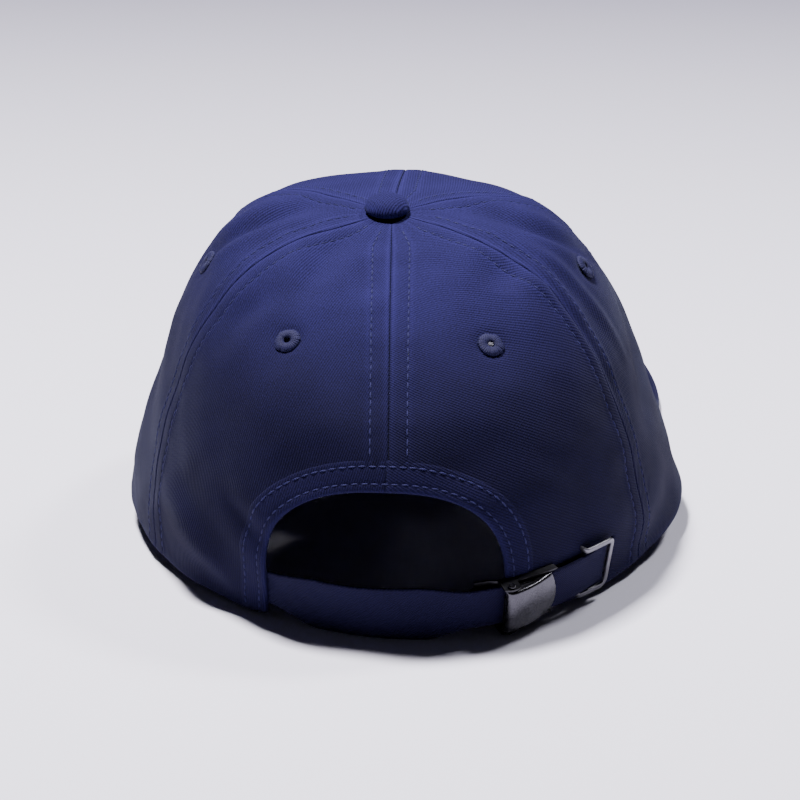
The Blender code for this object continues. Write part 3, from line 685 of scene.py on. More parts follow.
NAVY = twill("navy_twill", (0.0032, 0.0023, 0.022), (0.0215, 0.0175, 0.108))
# painted shade: a darker copy of the navy twill for the strap and the buckle's tab, which lie in shadow low
# at the rear
STRAP_CLOTH_SHADED = twill("navy_twill_strap_painted_shade", (0.003, 0.0022, 0.013), (0.011, 0.0095, 0.043))
TAPE = tape("navy_tape", (0.006, 0.006, 0.030), (0.022, 0.022, 0.085))
BAND = tape("navy_band", (0.006, 0.006, 0.030), (0.020, 0.020, 0.080), flat=False)
THREAD = thread("navy_thread", (0.007, 0.0065, 0.042), (0.030, 0.028, 0.150))
EYELET_THREAD = thread("navy_eyelet_thread", (0.004, 0.0035, 0.025), (0.017, 0.015, 0.086))
# painted shade: the stiffeners are coloured near black to stand in for the shade inside the crown
BUCKRAM = buckram("dark_buckram", (0.003, 0.003, 0.006), (0.014, 0.014, 0.022))
BOARD = board("visor_board", (0.70, 0.70, 0.67), (0.82, 0.82, 0.80))
STEEL = steel("brushed_steel", (0.020, 0.019, 0.024), (0.095, 0.092, 0.105), roughness=0.26)
STEEL_WIRE = steel("brushed_steel_wire", (0.055, 0.053, 0.062), (0.18, 0.176, 0.195), (0.0, 0.0, 0.9))
# painted reflection and shade: a darker copy of the brushed steel for the buckle's frame and the lever's cam,
# standing in for the dark surroundings they reflect
STEEL_DARK = steel("steel_painted_dark_reflection", (0.010, 0.010, 0.012), (0.050, 0.049, 0.055))
SATIN = satin("label_satin", (0.60, 0.60, 0.58), (0.82, 0.82, 0.80))


# ---- crown panels ----

MIDDLE_COLUMNS = 56
PANEL_ROWS = 190
ARCH_HEM_COVER = 2.4 * MM       # the panels' raw edge lies this far back under the hem of the opening
EYELET_CUT = 2.5 * MM
WALE_ANGLES = {"back_left": 84.0, "back_right": 150.0, "mid_right": 62.0,
               "front_right": 118.0, "front_left": 62.0, "mid_left": 118.0}


def panel_columns(lo, rise):
    """Turns of a panel's columns at one rise: close together by its two seams, even between them."""
    hi = lo + PANEL_SPAN
    left = look_up(SPEED, lo, rise)[0]
    right = look_up(SPEED, hi, rise)[0]
    start = lo + EDGE_STEPS * narrowing(left) / left
    stop = hi - EDGE_STEPS[::-1] * narrowing(right) / right
    return np.concatenate([start, np.linspace(start[-1], stop[0], MIDDLE_COLUMNS + 2)[1:-1], stop])


def in_arch(points, grow):
    """Whether points at the rear lie inside the opening's outline, let out by grow."""
    x = np.abs(points[..., 0] - ARCH_X) / (ARCH_HALF + grow)
    z = np.maximum(points[..., 2] - ARCH_SPRING, 0.0) / (ARCH_TOP - ARCH_SPRING + grow)
    return (points[..., 1] > 0.0) & (x ** ARCH_POWER + z ** ARCH_POWER < 1.0)


def near_eyelet(points):
    gone = np.zeros(points.shape[:-1], bool)
    for turn, rise in EYELETS.values():
        gone |= np.linalg.norm(points - look_up(SKIN, turn, rise), axis=-1) < EYELET_CUT
    return gone


def in_slot(turn, points):
    """The slot that the strap's tail goes in through, behind the tuck keeper."""
    s = points - STRAP_HUB
    angle = np.degrees(np.arctan2(-s[..., 0], s[..., 1]))
    inside = (turn > 0.0) & (turn < 60.0) & (angle > SLOT_FROM) & (angle < SLOT_TO)
    return inside & (np.abs(s[..., 2]) < STRAP_HALF - 0.5 * MM)


def cloth_uv(turn, rise, lo, angle):
    middle = lo + 0.5 * PANEL_SPAN
    u = (turn - middle) * look_up(SPEED, middle, rise)[..., 0]
    return twill_uv(u, rise * LENGTHS.mean(), angle)


def crown_panel(name, lo):
    rises = np.linspace(0.0, TOP_STOP, PANEL_ROWS)
    turn = np.array([panel_columns(lo, rise) for rise in rises])
    rise = np.broadcast_to(rises[:, None], turn.shape)
    points = cloth(turn, rise)
    plain = look_up(SKIN, turn, rise)
    gone = in_arch(plain, ARCH_HEM_COVER) | near_eyelet(plain) | in_slot(turn, plain)
    faces = grid_faces(*turn.shape)
    faces = faces[~gone.ravel()[faces].any(axis=1)]
    used, faces = np.unique(faces, return_inverse=True)
    faces = faces.reshape(-1, 4)
    d, narrow, seam = seam_distance(turn, rise)
    wear = bell((d - 1.0 * MM) / (0.5 * MM)) + 0.5 * bell((d - ALLOWANCE) / (0.6 * MM)) + bell(rise / 0.008)
    uv = cloth_uv(turn, rise, lo, WALE_ANGLES[name])[used]
    kept = points.reshape(-1, 3)[used]
    ob = make("cloth_panel_" + name, kept, faces, NAVY, "crown", "crown_panel_" + name, uv)
    add_value(ob, "wear", wear.ravel()[used])
    # painted shade: the panels are darkened fully up to about a third of the way up and not at all above four
    # fifths, for the shade low on the crown
    add_value(ob, "painted_shade_amount", (1.0 - smooth((rise - 0.36) / 0.42)).ravel()[used])
    thicken(ob, CLOTH)


def crown_stitches():
    """Two rows to a panel, one beside each seam; by the rear seam they start over the opening's hem."""
    for name, lo in PANELS.items():
        for tag, side, seam in (("start", 1.0, lo), ("end", -1.0, lo + PANEL_SPAN)):
            low = rise_at(0.0, ARCH_TOP + 7.6 * MM) if seam == 0.0 else 0.012
            rise = np.linspace(low, 0.93, 300)
            step = look_up(SPEED, seam, rise)[..., 0]
            turn = seam + side * STITCH_ROW * narrowing(step) / step
            stitch_row("topstitch_%s_%s" % (name, tag), cloth(turn, rise, 0.06 * MM),
                       look_up(NORMALS, turn, rise), "crown")


# (seam, rise of the lower end, distance outward in mm)
TAPES = {"rear": (0.0, 0.405, -1.4), "rear_right": (60.0, 0.215, -1.4), "front_right": (120.0, 0.215, -2.7),
         "front": (180.0, 0.215, -2.7), "front_left": (240.0, 0.215, -2.7), "rear_left": (-60.0, 0.215, -1.4)}
TAPE_WIDE = 13.0 * MM
TAPE_TOP = 0.86


def seam_tape(name, seam, low, out):
    """Tape sewn over the open seam inside the crown; it follows the middle of the allowance."""
    rise = np.linspace(low, TAPE_TOP, 90)[:, None]
    across = np.linspace(-0.5, 0.5, 9)[None, :] * TAPE_WIDE
    turn = seam + across / look_up(SPEED, seam, rise)[..., 0]
    level = out * MM - 0.12 * MM * bell((np.abs(across) - STITCH_ROW) / (0.6 * MM))
    base = relief(seam + 3.0 * np.sign(across + 1e-9), rise) * 0.5 + level
    points = over_skin(turn, rise, base)
    uv = np.stack(np.broadcast_arrays(across, rise * LENGTHS.mean()), axis=-1)
    ob = make("tape_" + name, points, grid_faces(*turn.shape), TAPE, "crown",
              "seam_tape_" + name, uv)
    thicken(ob, 0.45 * MM)


# ---- hem of the rear opening ----

HEM_ROWS = (2.0 * MM, 6.3 * MM)
# (distance out from the opening's edge, height over the crown) in mm, from inside, round the edge, to the
# outer step
HEM_SECTION = ((6.6, -1.95), (3.0, -2.0), (0.8, -1.9), (0.15, -1.6), (-0.2, -1.0), (-0.25, -0.4),
               (-0.05, 0.1), (0.5, 0.38), (1.2, 0.42), (1.65, 0.37), (2.0, 0.20), (2.35, 0.36),
               (3.2, 0.40), (4.6, 0.36), (5.8, 0.30), (6.3, 0.12), (6.8, 0.20), (7.4, 0.12),
               (7.8, -0.05), (7.8, -0.5))
HEM_EDGE = 8                    # the point of the section at the middle of its outer face


def arch_point(a, grow):
    """A point of the opening's outline in the upright plane, let out by grow."""
    tall = ARCH_TOP - ARCH_SPRING
    x = ARCH_HALF * float(signed_power(cos(a), 2.0 / ARCH_POWER))
    z = ARCH_SPRING + tall * abs(sin(a)) ** (2.0 / ARCH_POWER)
    nx = float(signed_power(x / ARCH_HALF, ARCH_POWER - 1.0)) / ARCH_HALF
    nz = ((z - ARCH_SPRING) / tall) ** (ARCH_POWER - 1.0) / tall
    length = max((nx * nx + nz * nz) ** 0.5, 1e-9)
    return ARCH_X + x + grow * nx / length, z + grow * nz / length


def on_crown(x, z):
    """Turn and rise of the rear of the crown at a given x and height."""
    turn = 0.0
    for n in range(12):
        rise = rise_at(turn, z)
        p = look_up(SKIN, turn, rise)
        turn += degrees((p[0] - x) / max(p[1], 0.03))
        turn = min(max(turn, -68.0), 68.0)
    return turn, rise_at(turn, z)


LEG_STEPS = 14
ARC_STEPS = 120


def hem_line(grow):
    """Turns and rises along the whole hem, left foot over the arch to right foot, let out by grow."""
    places = []
    for z in np.linspace(0.25 * MM, ARCH_SPRING, LEG_STEPS, endpoint=False):
        places.append(on_crown(ARCH_X + ARCH_HALF + grow, z))
    for a in np.linspace(0.02, pi - 0.02, ARC_STEPS):
        places.append(on_crown(*arch_point(a, grow)))
    for z in np.linspace(ARCH_SPRING, 0.25 * MM, LEG_STEPS + 1)[1:]:
        places.append(on_crown(ARCH_X - ARCH_HALF - grow, z))
    places = np.array(places)
    kernel = np.array((1.0, 2.0, 3.0, 2.0, 1.0)) / 9.0
    padded = np.pad(places, ((2, 2), (0, 0)), mode="edge")
    return np.stack([np.convolve(padded[:, k], kernel, "valid") for k in range(2)], axis=-1)


def hem_relief(turn, rise):
    """Relief under the hem, without the seam's own groove, which the hem only hints at."""
    points = look_up(SKIN, turn, rise)
    seam = 0.26 * MM * bell(turn / 2.6) - 0.40 * MM * bell(turn / 0.30)
    return unevenness(points) + folds(points) + seam


def arch_hem():
    """Binding folded round the opening's edge in two lengths that meet over the rear seam."""
    section = np.array(HEM_SECTION) * MM
    lines = {out: hem_line(out) for out in sorted(set(section[:, 0]))}
    places = np.stack([lines[out] for out in section[:, 0]], axis=1)
    turn = places[..., 0]
    rise = places[..., 1]
    points = over_skin(turn, rise, hem_relief(turn, rise) + section[:, 1])
    middle = int(np.abs(turn[:, HEM_EDGE]).argmin())
    for side, part in (("left", slice(0, middle + 1)), ("right", slice(middle, None))):
        panel = "back_" + side
        shape = turn[part].shape
        uv = cloth_uv(turn[part], rise[part], PANELS[panel], WALE_ANGLES[panel])
        ob = make("arch_hem_" + side, points[part], closed_faces(*shape), NAVY, "crown",
                  "arch_facing", uv, closed=True)
        add_value(ob, "wear", np.broadcast_to(bell((section[:, 0] - 0.2 * MM) / (0.5 * MM)), shape))
        # painted shade: the hem round the opening takes a fixed 0.8 of the crown's painted darkening
        add_value(ob, "painted_shade_amount", np.full(shape, 0.8))
    for number, out in enumerate(HEM_ROWS):
        turn, rise = hem_line(out).T
        path = over_skin(turn, rise, hem_relief(turn, rise) + 0.24 * MM)
        stitch_row("arch_stitches_%d" % number, path, look_up(NORMALS, turn, rise), "crown")


# ---- eyelets and button ----

EYELET_THREADS = 30
EYELET_DETAIL = 6               # columns of the mesh to a thread
# (radius, height) of the sewn ring in mm, from inside the bore, over the top, to its outer edge
EYELET_SECTION = ((1.30, -1.3), (1.02, -0.7), (0.96, -0.1), (1.12, 0.35), (1.60, 0.66), (2.35, 0.76),
                  (2.85, 0.66), (3.30, 0.42), (3.65, 0.12), (3.85, -0.2), (4.0, -0.7), (3.0, -1.35))


def eyelet(name, turn, rise):
    """A sewn eyelet: a ring of radial threads wrapped round the hole, a little uneven."""
    steps = EYELET_THREADS * EYELET_DETAIL
    angle = circle(steps)
    centre = cloth(turn, rise)
    n = look_up(NORMALS, turn, rise)
    side = unit(look_up(SIDEWAYS, turn, rise))
    up = np.cross(n, side)
    ridge = np.abs(np.cos(0.5 * EYELET_THREADS * angle)) ** 0.7
    rng = np.random.default_rng(int(abs(turn)) + 5)
    uneven = np.repeat(rng.uniform(-1.0, 1.0, EYELET_THREADS), EYELET_DETAIL)
    rings = []
    for r, z in EYELET_SECTION:
        outer = smooth((r - 1.6) / 1.5)
        radius = (r + 0.16 * outer * uneven + 0.05 * ridge) * MM
        height = (0.7 * z + 0.12 * (ridge - 0.5) + 0.05 * uneven + 0.30) * MM
        round_centre = side * (radius * np.cos(angle))[:, None] + up * (radius * np.sin(angle))[:, None]
        rings.append(centre + round_centre + n * height[:, None])
    faces = grid_faces(len(rings), steps, closed=True)
    last = (len(rings) - 1) * steps
    k = np.arange(steps)
    joined = np.stack([last + k, last + (k + 1) % steps, (k + 1) % steps, k], axis=-1)
    v = np.array(EYELET_SECTION)[:, :1] * MM
    uv = np.stack(np.broadcast_arrays(v, angle * 3.0 * MM), axis=-1)
    make("sewn_eyelet_" + name, np.array(rings), np.concatenate([faces, joined]), EYELET_THREAD, "crown",
         "eyelet_" + name, uv)


def button():
    """Cloth drawn over a dome and gathered under its edge."""
    steps = 96
    angle = circle(steps)
    section = [(0.0, 5.75)]
    for i in range(1, 14):
        a = 0.5 * pi * (1.0 - i / 13.0)
        section.append((7.0 * cos(a) ** 0.82, 1.7 + 4.05 * sin(a) ** 1.05))
    section += [(6.9, 1.15), (6.4, 0.75), (5.8, 0.95), (5.75, 1.6)]
    way = np.stack([np.cos(angle), np.sin(angle), 0.0 * angle], axis=-1)
    pleats = ripple(way * 7.0 * MM, 2.6 * MM, 21)
    rings = []
    for r, z in section:
        gathered = smooth((r - 5.0) / 2.2)
        radius = (r + 0.10 * gathered * pleats) * MM
        height = (z + 0.05 * gathered * pleats) * MM
        rings.append(way * radius[:, None] + np.array((0.0, 0.0, 1.0)) * height[:, None])
    points = np.array(rings) + BUTTON
    uv = points[..., :2] @ np.array(((0.85, 0.53), (-0.53, 0.85)))
    faces = grid_faces(len(rings), steps, closed=True)[:, ::-1]
    ob = make("covered_button", points, faces, NAVY, "crown", "button_cover", uv)
    radius = np.linalg.norm(points[..., :2] - BUTTON[:2], axis=-1)
    add_value(ob, "wear", bell((radius - 6.7 * MM) / (0.6 * MM)))


# ---- sweatband and label ----

BAND_FROM = 58.0
BAND_LOW = 1.2 * MM
BAND_HIGH = 29.0 * MM
BAND_THICK = 1.1 * MM
BAND_DIPS = (4.5 * MM, 25.5 * MM)       # heights at which the stitches draw the padding in


def band_point(turn, height, out=0.0):
    """A point of the band's outer face, which follows the crown a little way inside it."""
    rise = rise_at(turn, float(rim_raise(turn)) + height + 1.0 * MM)
    deep = -3.8 * MM - 0.05 * height + out
    return over_skin(turn, rise, deep)


def sweatband():
    """A padded band, with a row of stitches along each of its long edges."""
    turns = np.arange(BAND_FROM, 360.0 - BAND_FROM + 0.1, 1.0)
    heights = np.linspace(BAND_LOW, BAND_HIGH, 22)
    points = np.array([[band_point(t, h) for t in turns] for h in heights])
    quilt = 0.30 * MM * ripple(points, 16.0 * MM, 31)
    dip = 0.35 * MM * sum(bell((heights - row) / (0.9 * MM)) for row in BAND_DIPS)
    normal = unit(np.cross(np.gradient(points, axis=1), np.gradient(points, axis=0)))
    points = points + normal * (0.6 * quilt + dip[:, None])[..., None]
    run = path_lengths(points[10])
    uv = np.stack(np.broadcast_arrays(heights[:, None], run), axis=-1)
    ob = make("padded_sweatband", points, grid_faces(*points.shape[:2]), BAND, "crown",
              "sweatband", uv)
    thicken(ob, BAND_THICK)
    for number, row in enumerate((3, 18)):
        path = points[row] - normal[row] * (BAND_THICK + 0.05 * MM)
        stitch_row("sweatband_stitches_%d" % number, path, -normal[row], "crown")


def care_label():
    """A blank label that lies on the inner face of the band."""
    turns = np.linspace(96.0, 112.0, 13)
    heights = np.linspace(8.0 * MM, 26.0 * MM, 15)
    lift = 0.5 * MM * np.sin(np.linspace(0.0, pi, 15))
    points = np.array([[band_point(t, h, -1.75 * MM - up) for t in turns] for h, up in zip(heights, lift)])
    ob = make("folded_label", points, grid_faces(15, 13), SATIN, "crown", "care_label")
    thicken(ob, 0.3 * MM)


# ---- strap ----

def lean_at(turn):
    return np.radians(LEAN_LEFT + (LEAN_RIGHT - LEAN_LEFT) * smooth((turn + 20.0) / 33.0))


def strap_point(turn, up, out, lean=None):
    turn, up, out = np.broadcast_arrays(np.asarray(turn, float), up, out)
    w = lean_at(turn) if lean is None else lean
    a = np.radians(turn)
    r = STRAP_R + out * np.cos(w) + up * np.sin(w)
    return STRAP_HUB + np.stack([-r * np.sin(a), r * np.cos(a), up * np.cos(w) - out * np.sin(w)], axis=-1)


def strap_axes(turn):
    """Origin on the strap, and its directions along (to the wearer's right), up and out."""
    a = radians(turn)
    w = float(lean_at(turn))
    along_way = np.array((-cos(a), -sin(a), 0.0))
    up = np.array((-sin(a) * sin(w), cos(a) * sin(w), cos(w)))
    out = np.array((-sin(a) * cos(w), cos(a) * cos(w), -sin(w)))
    return strap_point(turn, 0.0, 0.0), along_way, up, out


def strap_edges(turn):
    """The lower and upper edge; in the middle the strap is taller and stands on the table."""
    tilt = radians(RIM_TILT)
    w = lean_at(turn)
    c = np.cos(np.radians(turn))
    y = STRAP_HUB[1] + STRAP_R * c
    on_table = STRAP_FLOOR + y * sin(tilt) - STRAP_HUB[2] * cos(tilt)
    on_table = on_table / (np.cos(w) * cos(tilt) - np.sin(w) * sin(tilt) * c)
    k = smooth(np.clip((turn + 36.0) / 16.0, 0.0, 1.0) * np.clip((17.0 - turn) / 14.0, 0.0, 1.0))
    low = -STRAP_HALF + k * (on_table - STRAP_TRIM + STRAP_HALF)
    return low, STRAP_HALF + k * (STRAP_TALL - STRAP_HALF)


def strap():
    """A band of doubled twill: folded edges, a closing seam along its back, soft waves where it's free."""
    turns = np.linspace(STRAP_FROM, STRAP_TO, 330)
    low, high = strap_edges(turns)
    edge = 0.5 * STRAP_THICK
    cap = np.linspace(0.0, pi, 9)[1:-1]
    across = np.linspace(-1.0, 1.0, 25)
    fractions = np.concatenate([across, np.ones(7), across[::-1], -np.ones(7)])
    past = np.concatenate([np.zeros(25), edge * np.sin(cap), np.zeros(25), -edge * np.sin(cap)])
    crease = 0.16 * MM * bell(across[::-1] / 0.07)
    puffed = 0.10 * MM * bell((np.abs(across) - 0.86) / 0.10)
    face = edge + puffed - 0.10 * MM
    outs = np.concatenate([face, edge * np.cos(cap), crease - face, -edge * np.cos(cap)])
    middle = 0.5 * (low + high)
    half = 0.5 * (high - low) - edge
    up = middle[:, None] + half[:, None] * fractions + past
    free = smooth((12.0 - turns) / 12.0)[:, None]
    flat = np.stack([np.broadcast_to(turns[:, None], up.shape) * 1.2 * MM, up, 0.0 * up], axis=-1)
    wave = free * (0.22 * MM * ripple(flat, 22.0 * MM, 41) + 0.07 * MM * ripple(flat, 6.0 * MM, 42))
    points = strap_point(turns[:, None], up, outs + wave)
    run = np.radians(turns) * STRAP_R
    # painted shade: the strap is given the darker, shaded copy of the twill
    ob = make("cloth_strap", points, closed_faces(*up.shape), STRAP_CLOTH_SHADED, "strap", "strap",
              twill_uv(up, run[:, None], 45.0), closed=True)
    add_value(ob, "wear", np.broadcast_to(0.7 * bell(outs / (0.35 * MM)), up.shape))


# ---- buckle ----

PIN = strap_axes(PIN_TURN)
# (along, out) of the lever's plate, from its roll round the pin to its bent tip, in mm from the pin
LEVER_TOP = ((-1.35, -0.75), (-1.80, -0.15), (-1.92, 0.55), (-1.62, 1.30), (-0.95, 1.84), (0.0, 2.05),
             (1.0, 2.05), (3.5, 1.55), (6.0, 0.92), (8.5, 0.08), (11.0, -0.85), (13.5, -1.88),
             (15.1, -2.55), (15.75, -2.95))
CHEEK_LOW = ((-1.3, -0.9), (-0.4, -1.85), (1.2, -1.9), (4.0, -1.95), (9.0, -2.45), (15.1, -3.35))
LEVER_PLATE = 0.6 * MM
LEVER_FILLET = 0.95 * MM


def from_pin(along_way, up, out):
    origin, x_axis, y_axis, z_axis = PIN
    along_way, up, out = np.broadcast_arrays(along_way, up, out)
    return (origin + z_axis * PIN_OUT + along_way[..., None] * x_axis + up[..., None] * y_axis
            + out[..., None] * z_axis)


def lever():
    """Pressed plate with turned-down cheeks, rolled round the pin and rounded at its tip."""
    top = np.array(LEVER_TOP) * MM
    dense = np.linspace(0.0, 1.0, 48)
    run = np.linspace(0.0, 1.0, len(top))
    s = np.interp(dense, run, top[:, 0])
    level = np.interp(dense, run, top[:, 1])
    cheek = np.array(CHEEK_LOW) * MM
    low = np.minimum(np.interp(s, cheek[:, 0], cheek[:, 1]), level - 0.25 * MM)
    turn = np.linspace(0.0, 0.5 * pi, 6)
    inner = LEVER_HALF - LEVER_FILLET
    flat = np.linspace(-inner, inner, 15)[1:-1]
    corner_up = inner + LEVER_FILLET * np.cos(turn)
    corner_drop = 1.0 - np.sin(turn)
    up = np.concatenate([[-LEVER_HALF] * 3, -corner_up, flat, corner_up[::-1], [LEVER_HALF] * 3])
    drop = np.concatenate([[3.0, 2.0, 1.0], corner_drop, 0.0 * flat, corner_drop[::-1], [1.0, 2.0, 3.0]])
    fillet = np.minimum(LEVER_FILLET, np.maximum(level - low, 0.0) * 0.8)
    out = level[:, None] - np.minimum(drop, 1.0) * fillet[:, None]
    cheeks = np.maximum(drop - 1.0, 0.0) / 2.0
    out = out - cheeks * np.maximum(level - low - fillet, 0.05 * MM)[:, None]
    out = out + 0.42 * MM * (1.0 - (up / inner) ** 2) * (drop <= 0.0)
    end = smooth((s - 8.0 * MM) / (LEVER_LONG - 8.0 * MM))
    along_way = s[:, None] + (0.45 - 1.7 * (up / LEVER_HALF) ** 2) * MM * end[:, None]
    points = from_pin(along_way, up, out)
    ob = make("lever_plate", points, grid_faces(*out.shape)[:, ::-1], STEEL, "buckle_lever",
              "buckle_lever")
    thicken(ob, LEVER_PLATE)
    cam = [(CAM_R * cos(a), CAM_R * sin(a)) for a in np.radians(np.linspace(200.0, 340.0, 18))]
    cam += [(1.5 * MM, 1.3 * MM), (-1.1 * MM, 1.3 * MM)]
    path = from_pin(0.0, np.linspace(-4.5, 4.5, 5) * MM, 0.0)
    ob = sweep("lever_cam", path, np.tile(PIN[3], (5, 1)), np.array(cam), STEEL_DARK, "buckle_lever")
    soften(ob, 0.12 * MM)


KEEPER_ARM = 8.3 * MM
KEEPER_LEG = -5.7


def keeper_half():
    """One arm of the wire, in mm along the strap, up it and out, and how far it has turned to lie flat."""
    places = [(KEEPER_LEG, 0.0, out, 0.0) for out in (-5.1, -3.4, -1.7)]
    for a in np.linspace(0.0, 0.5 * pi, 8)[1:]:
        places.append((KEEPER_LEG + 1.0 - cos(a), 0.0, -1.7 + 1.6 * sin(a), a / (0.5 * pi)))
    for x in np.linspace(-3.8, 3.4, 9)[1:]:
        places.append((x, 0.0, 0.1 + 1.1 * (x + 3.8) / 7.2, 1.0))
    for a in np.linspace(0.0, 0.5 * pi, 9):
        places.append((3.9 + 1.9 * sin(a), 1.9 * (cos(a) - 1.0), 1.28, 1.0))
    return places


def keeper():
    """A flat wire bent to a C over the strap's tail, its ends clinched through the panel."""
    origin, x_axis, y_axis, z_axis = strap_axes(KEEPER_TURN)
    half = np.array(keeper_half())
    upper = half[:, :3] * MM
    upper[:, 1] += KEEPER_ARM
    bar = np.linspace(upper[-1, 1], -upper[-1, 1], 9)[1:-1]
    straight = np.stack([np.full(7, upper[-1, 0]), bar, np.full(7, upper[-1, 2])], axis=-1)
    lower = upper[::-1] * (1.0, -1.0, 1.0)
    path = np.concatenate([upper, straight, lower])
    flat = np.concatenate([half[:, 3], np.ones(7), half[::-1, 3]])
    world = origin + path[:, :1] * x_axis + path[:, 1:2] * y_axis + path[:, 2:] * z_axis
    ups = z_axis * flat[:, None] - x_axis * (1.0 - flat)[:, None]
    sweep("keeper_wire", world, ups, rounded_section(0.88 * MM, 0.52 * MM, 0.5), STEEL_WIRE, "crown",
          "tuck_keeper")


# (turn round the strap's hub, distance out in mm) along the tab
TAB_PATH = ((29.2, -4.75), (26.7, -4.8), (24.6, -4.7), (23.2, -4.4), (21.8, -3.8), (20.4, -3.25),
            (18.8, -3.0), (17.9, -3.0), (17.3, -2.85), (16.95, -2.45), (16.9, -2.05), (17.1, -1.6),
            (17.6, -1.3), (18.4, -1.23), (19.4, -1.25), (20.2, -1.55), (20.8, -2.05), (21.4, -2.6))
TAB_HALF = 5.3 * MM
TAB_THICK = 0.55 * MM


def buckle_tab():
    """A short loop of the same twill that holds the buckle to the edge of the opening."""
    path = np.array(TAB_PATH)
    dense = np.linspace(0.0, len(path) - 1.0, 70)
    turn = np.interp(dense, np.arange(len(path)), path[:, 0])
    out = np.interp(dense, np.arange(len(path)), path[:, 1]) * MM
    across = np.linspace(-TAB_HALF, TAB_HALF, 13)
    lean = float(lean_at(PIN_TURN))
    points = strap_point(turn[:, None], across[None, :], out[:, None], lean)
    run = path_lengths(points[:, 6])
    u, v = np.broadcast_arrays(across[None, :], run[:, None])
    uv = np.stack([0.7 * u - 0.7 * v, 0.7 * u + 0.7 * v], axis=-1)
    # painted shade: the tab is given the darker, shaded copy of the twill
    ob = make("cloth_tab", points, grid_faces(*u.shape), STRAP_CLOTH_SHADED, "crown", "buckle_tab", uv)
    add_value(ob, "wear", bell((np.abs(u) - TAB_HALF) / MM))
    thicken(ob, TAB_THICK, 0.0)


# ---- visor ----

def root_edge(v, inset):
    p = look_up(SKIN, 180.0 + VISOR_SPAN * v, 0.0)
    k = 1.0 - inset / np.hypot(p[..., 0], p[..., 1])
    return p[..., 0] * k, p[..., 1] * k


END_X, END_Y = [float(value) for value in root_edge(1.0, 0.0)]


def visor_edge(v, inset):
    a = np.abs(v) * 0.5 * pi
    c = np.maximum(np.cos(a), 0.0)
    x = (abs(END_X) - inset) * np.sin(a) + VISOR_BULGE * np.sin(a) * c ** 0.8
    y = END_Y - (FRONT_LENGTH + VISOR_LONG + END_Y - inset) * c ** 0.75
    return np.sign(v) * x * (1.0 - inset / (95.0 * MM) * c ** 0.3), y


def visor_point(v, w, depth, past=0.0):
    """A point of the visor: v across it, w from the root seam out to the edge, depth below its top face."""
    v, w, depth, past = np.broadcast_arrays(*[np.asarray(k, float) for k in (v, w, depth, past)])
    root_x, root_y = root_edge(v, 0.4 * MM)
    edge_x, edge_y = visor_edge(v, 0.0)
    x = root_x + (edge_x - root_x) * w
    y = root_y + (edge_y - root_y) * w
    away = unit(np.stack([edge_x, edge_y + 60.0 * MM], axis=-1))
    x = x + away[..., 0] * past
    y = y + away[..., 1] * past
    steeper = np.sqrt(1.0 + (x / VISOR_CURVE) ** 2 + VISOR_FALL ** 2)
    drop = VISOR_DROP * smooth(w * visor_length(v) / (7.0 * MM))
    return np.stack([x, y, visor_height(x, y) - drop - depth * steeper], axis=-1)


def visor_length(v):
    root_x, root_y = root_edge(v, 0.4 * MM)
    edge_x, edge_y = visor_edge(v, 0.0)
    return np.hypot(edge_x - root_x, edge_y - root_y)


# how the cloth turns round the visor's edge: (past the edge, depth) in mm
EDGE_TURN = ((0.25, 0.12), (0.50, 0.40), (0.66, 0.80), (0.70, 1.25), (0.62, 1.60), (0.40, 1.80), (0.1, 1.84))
VISOR_COLUMNS = 151
VISOR_BODY_ROWS = 92


ROW_INSETS = [3.0 * MM + VISOR_ROW_STEP * row for row in range(VISOR_ROWS)]


def visor_cloth(name, over, replaced):
    """One face of the visor, from the root seam out and halfway round the edge; sewn rows press into it."""
    v = np.sin(np.linspace(-0.5 * pi, 0.5 * pi, VISOR_COLUMNS))[None, :] * 0.999
    w = np.linspace(0.0, 1.0, VISOR_BODY_ROWS)[:, None]
    inset = (1.0 - w) * visor_length(v)
    groove = sum(bell((inset - row) / (0.7 * MM)) for row in ROW_INSETS)
    plain = visor_point(v, w, 0.0)
    depth = 0.28 * MM * groove + 0.10 * MM * (1.0 + ripple(plain, 9.0 * MM, 51) * 0.5)
    depth = depth if over else VISOR_THICK - depth
    body = visor_point(v, w, depth)
    turned = []
    for past, deep in EDGE_TURN:
        level = deep * MM if over else VISOR_THICK - deep * MM
        turned.append(visor_point(v[0], 1.0, level, past * MM * np.sqrt(np.maximum(1.0 - v[0] ** 4, 0.0))))
    points = np.concatenate([body, np.array(turned)], axis=0)
    faces = grid_faces(*points.shape[:2])
    ob = make(name, points, faces if over else faces[:, ::-1], NAVY, "crown", replaced,
              twill_uv(points[..., 0], points[..., 1], 56.0 if over else 124.0))
    wear = np.zeros(points.shape[:2])
    wear[VISOR_BODY_ROWS - 1:] = 0.8
    add_value(ob, "wear", wear)
    # painted shade: the visor's cloth takes a fixed 0.9 of the crown's painted darkening
    add_value(ob, "painted_shade_amount", np.full(wear.shape, 0.9))
    thicken(ob, 0.55 * MM)
    deep = float(np.ptp(points[..., 1]))


def visor_stitches():
    for row, inset in enumerate(ROW_INSETS):
        v = np.sin(np.linspace(-0.5 * pi, 0.5 * pi, 900))
        length = visor_length(v)
        v = v[length > inset + 3.0 * MM]
        w = 1.0 - inset / visor_length(v)
        for tag, depth, up in (("top", 0.22 * MM, 1.0), ("under", VISOR_THICK - 0.24 * MM, -1.0)):
            path = visor_point(v, w, depth)
            ahead = np.gradient(path, axis=0)
            outward = visor_point(v, w + 0.01, depth) - path
            normals = unit(np.cross(outward, ahead))
            normals = normals * np.sign(normals[:, 2:]) * up
            stitch_row("visor_stitches_%s_%d" % (tag, row), path, normals, "crown")


# ---- CAD pieces that keep their shape ----

def dress(name, mat, bevel=0.0):
    node = NODES[name]
    node.data.materials.clear()
    node.data.materials.append(mat)
    if bevel > 0.0:
        soften(node, bevel)


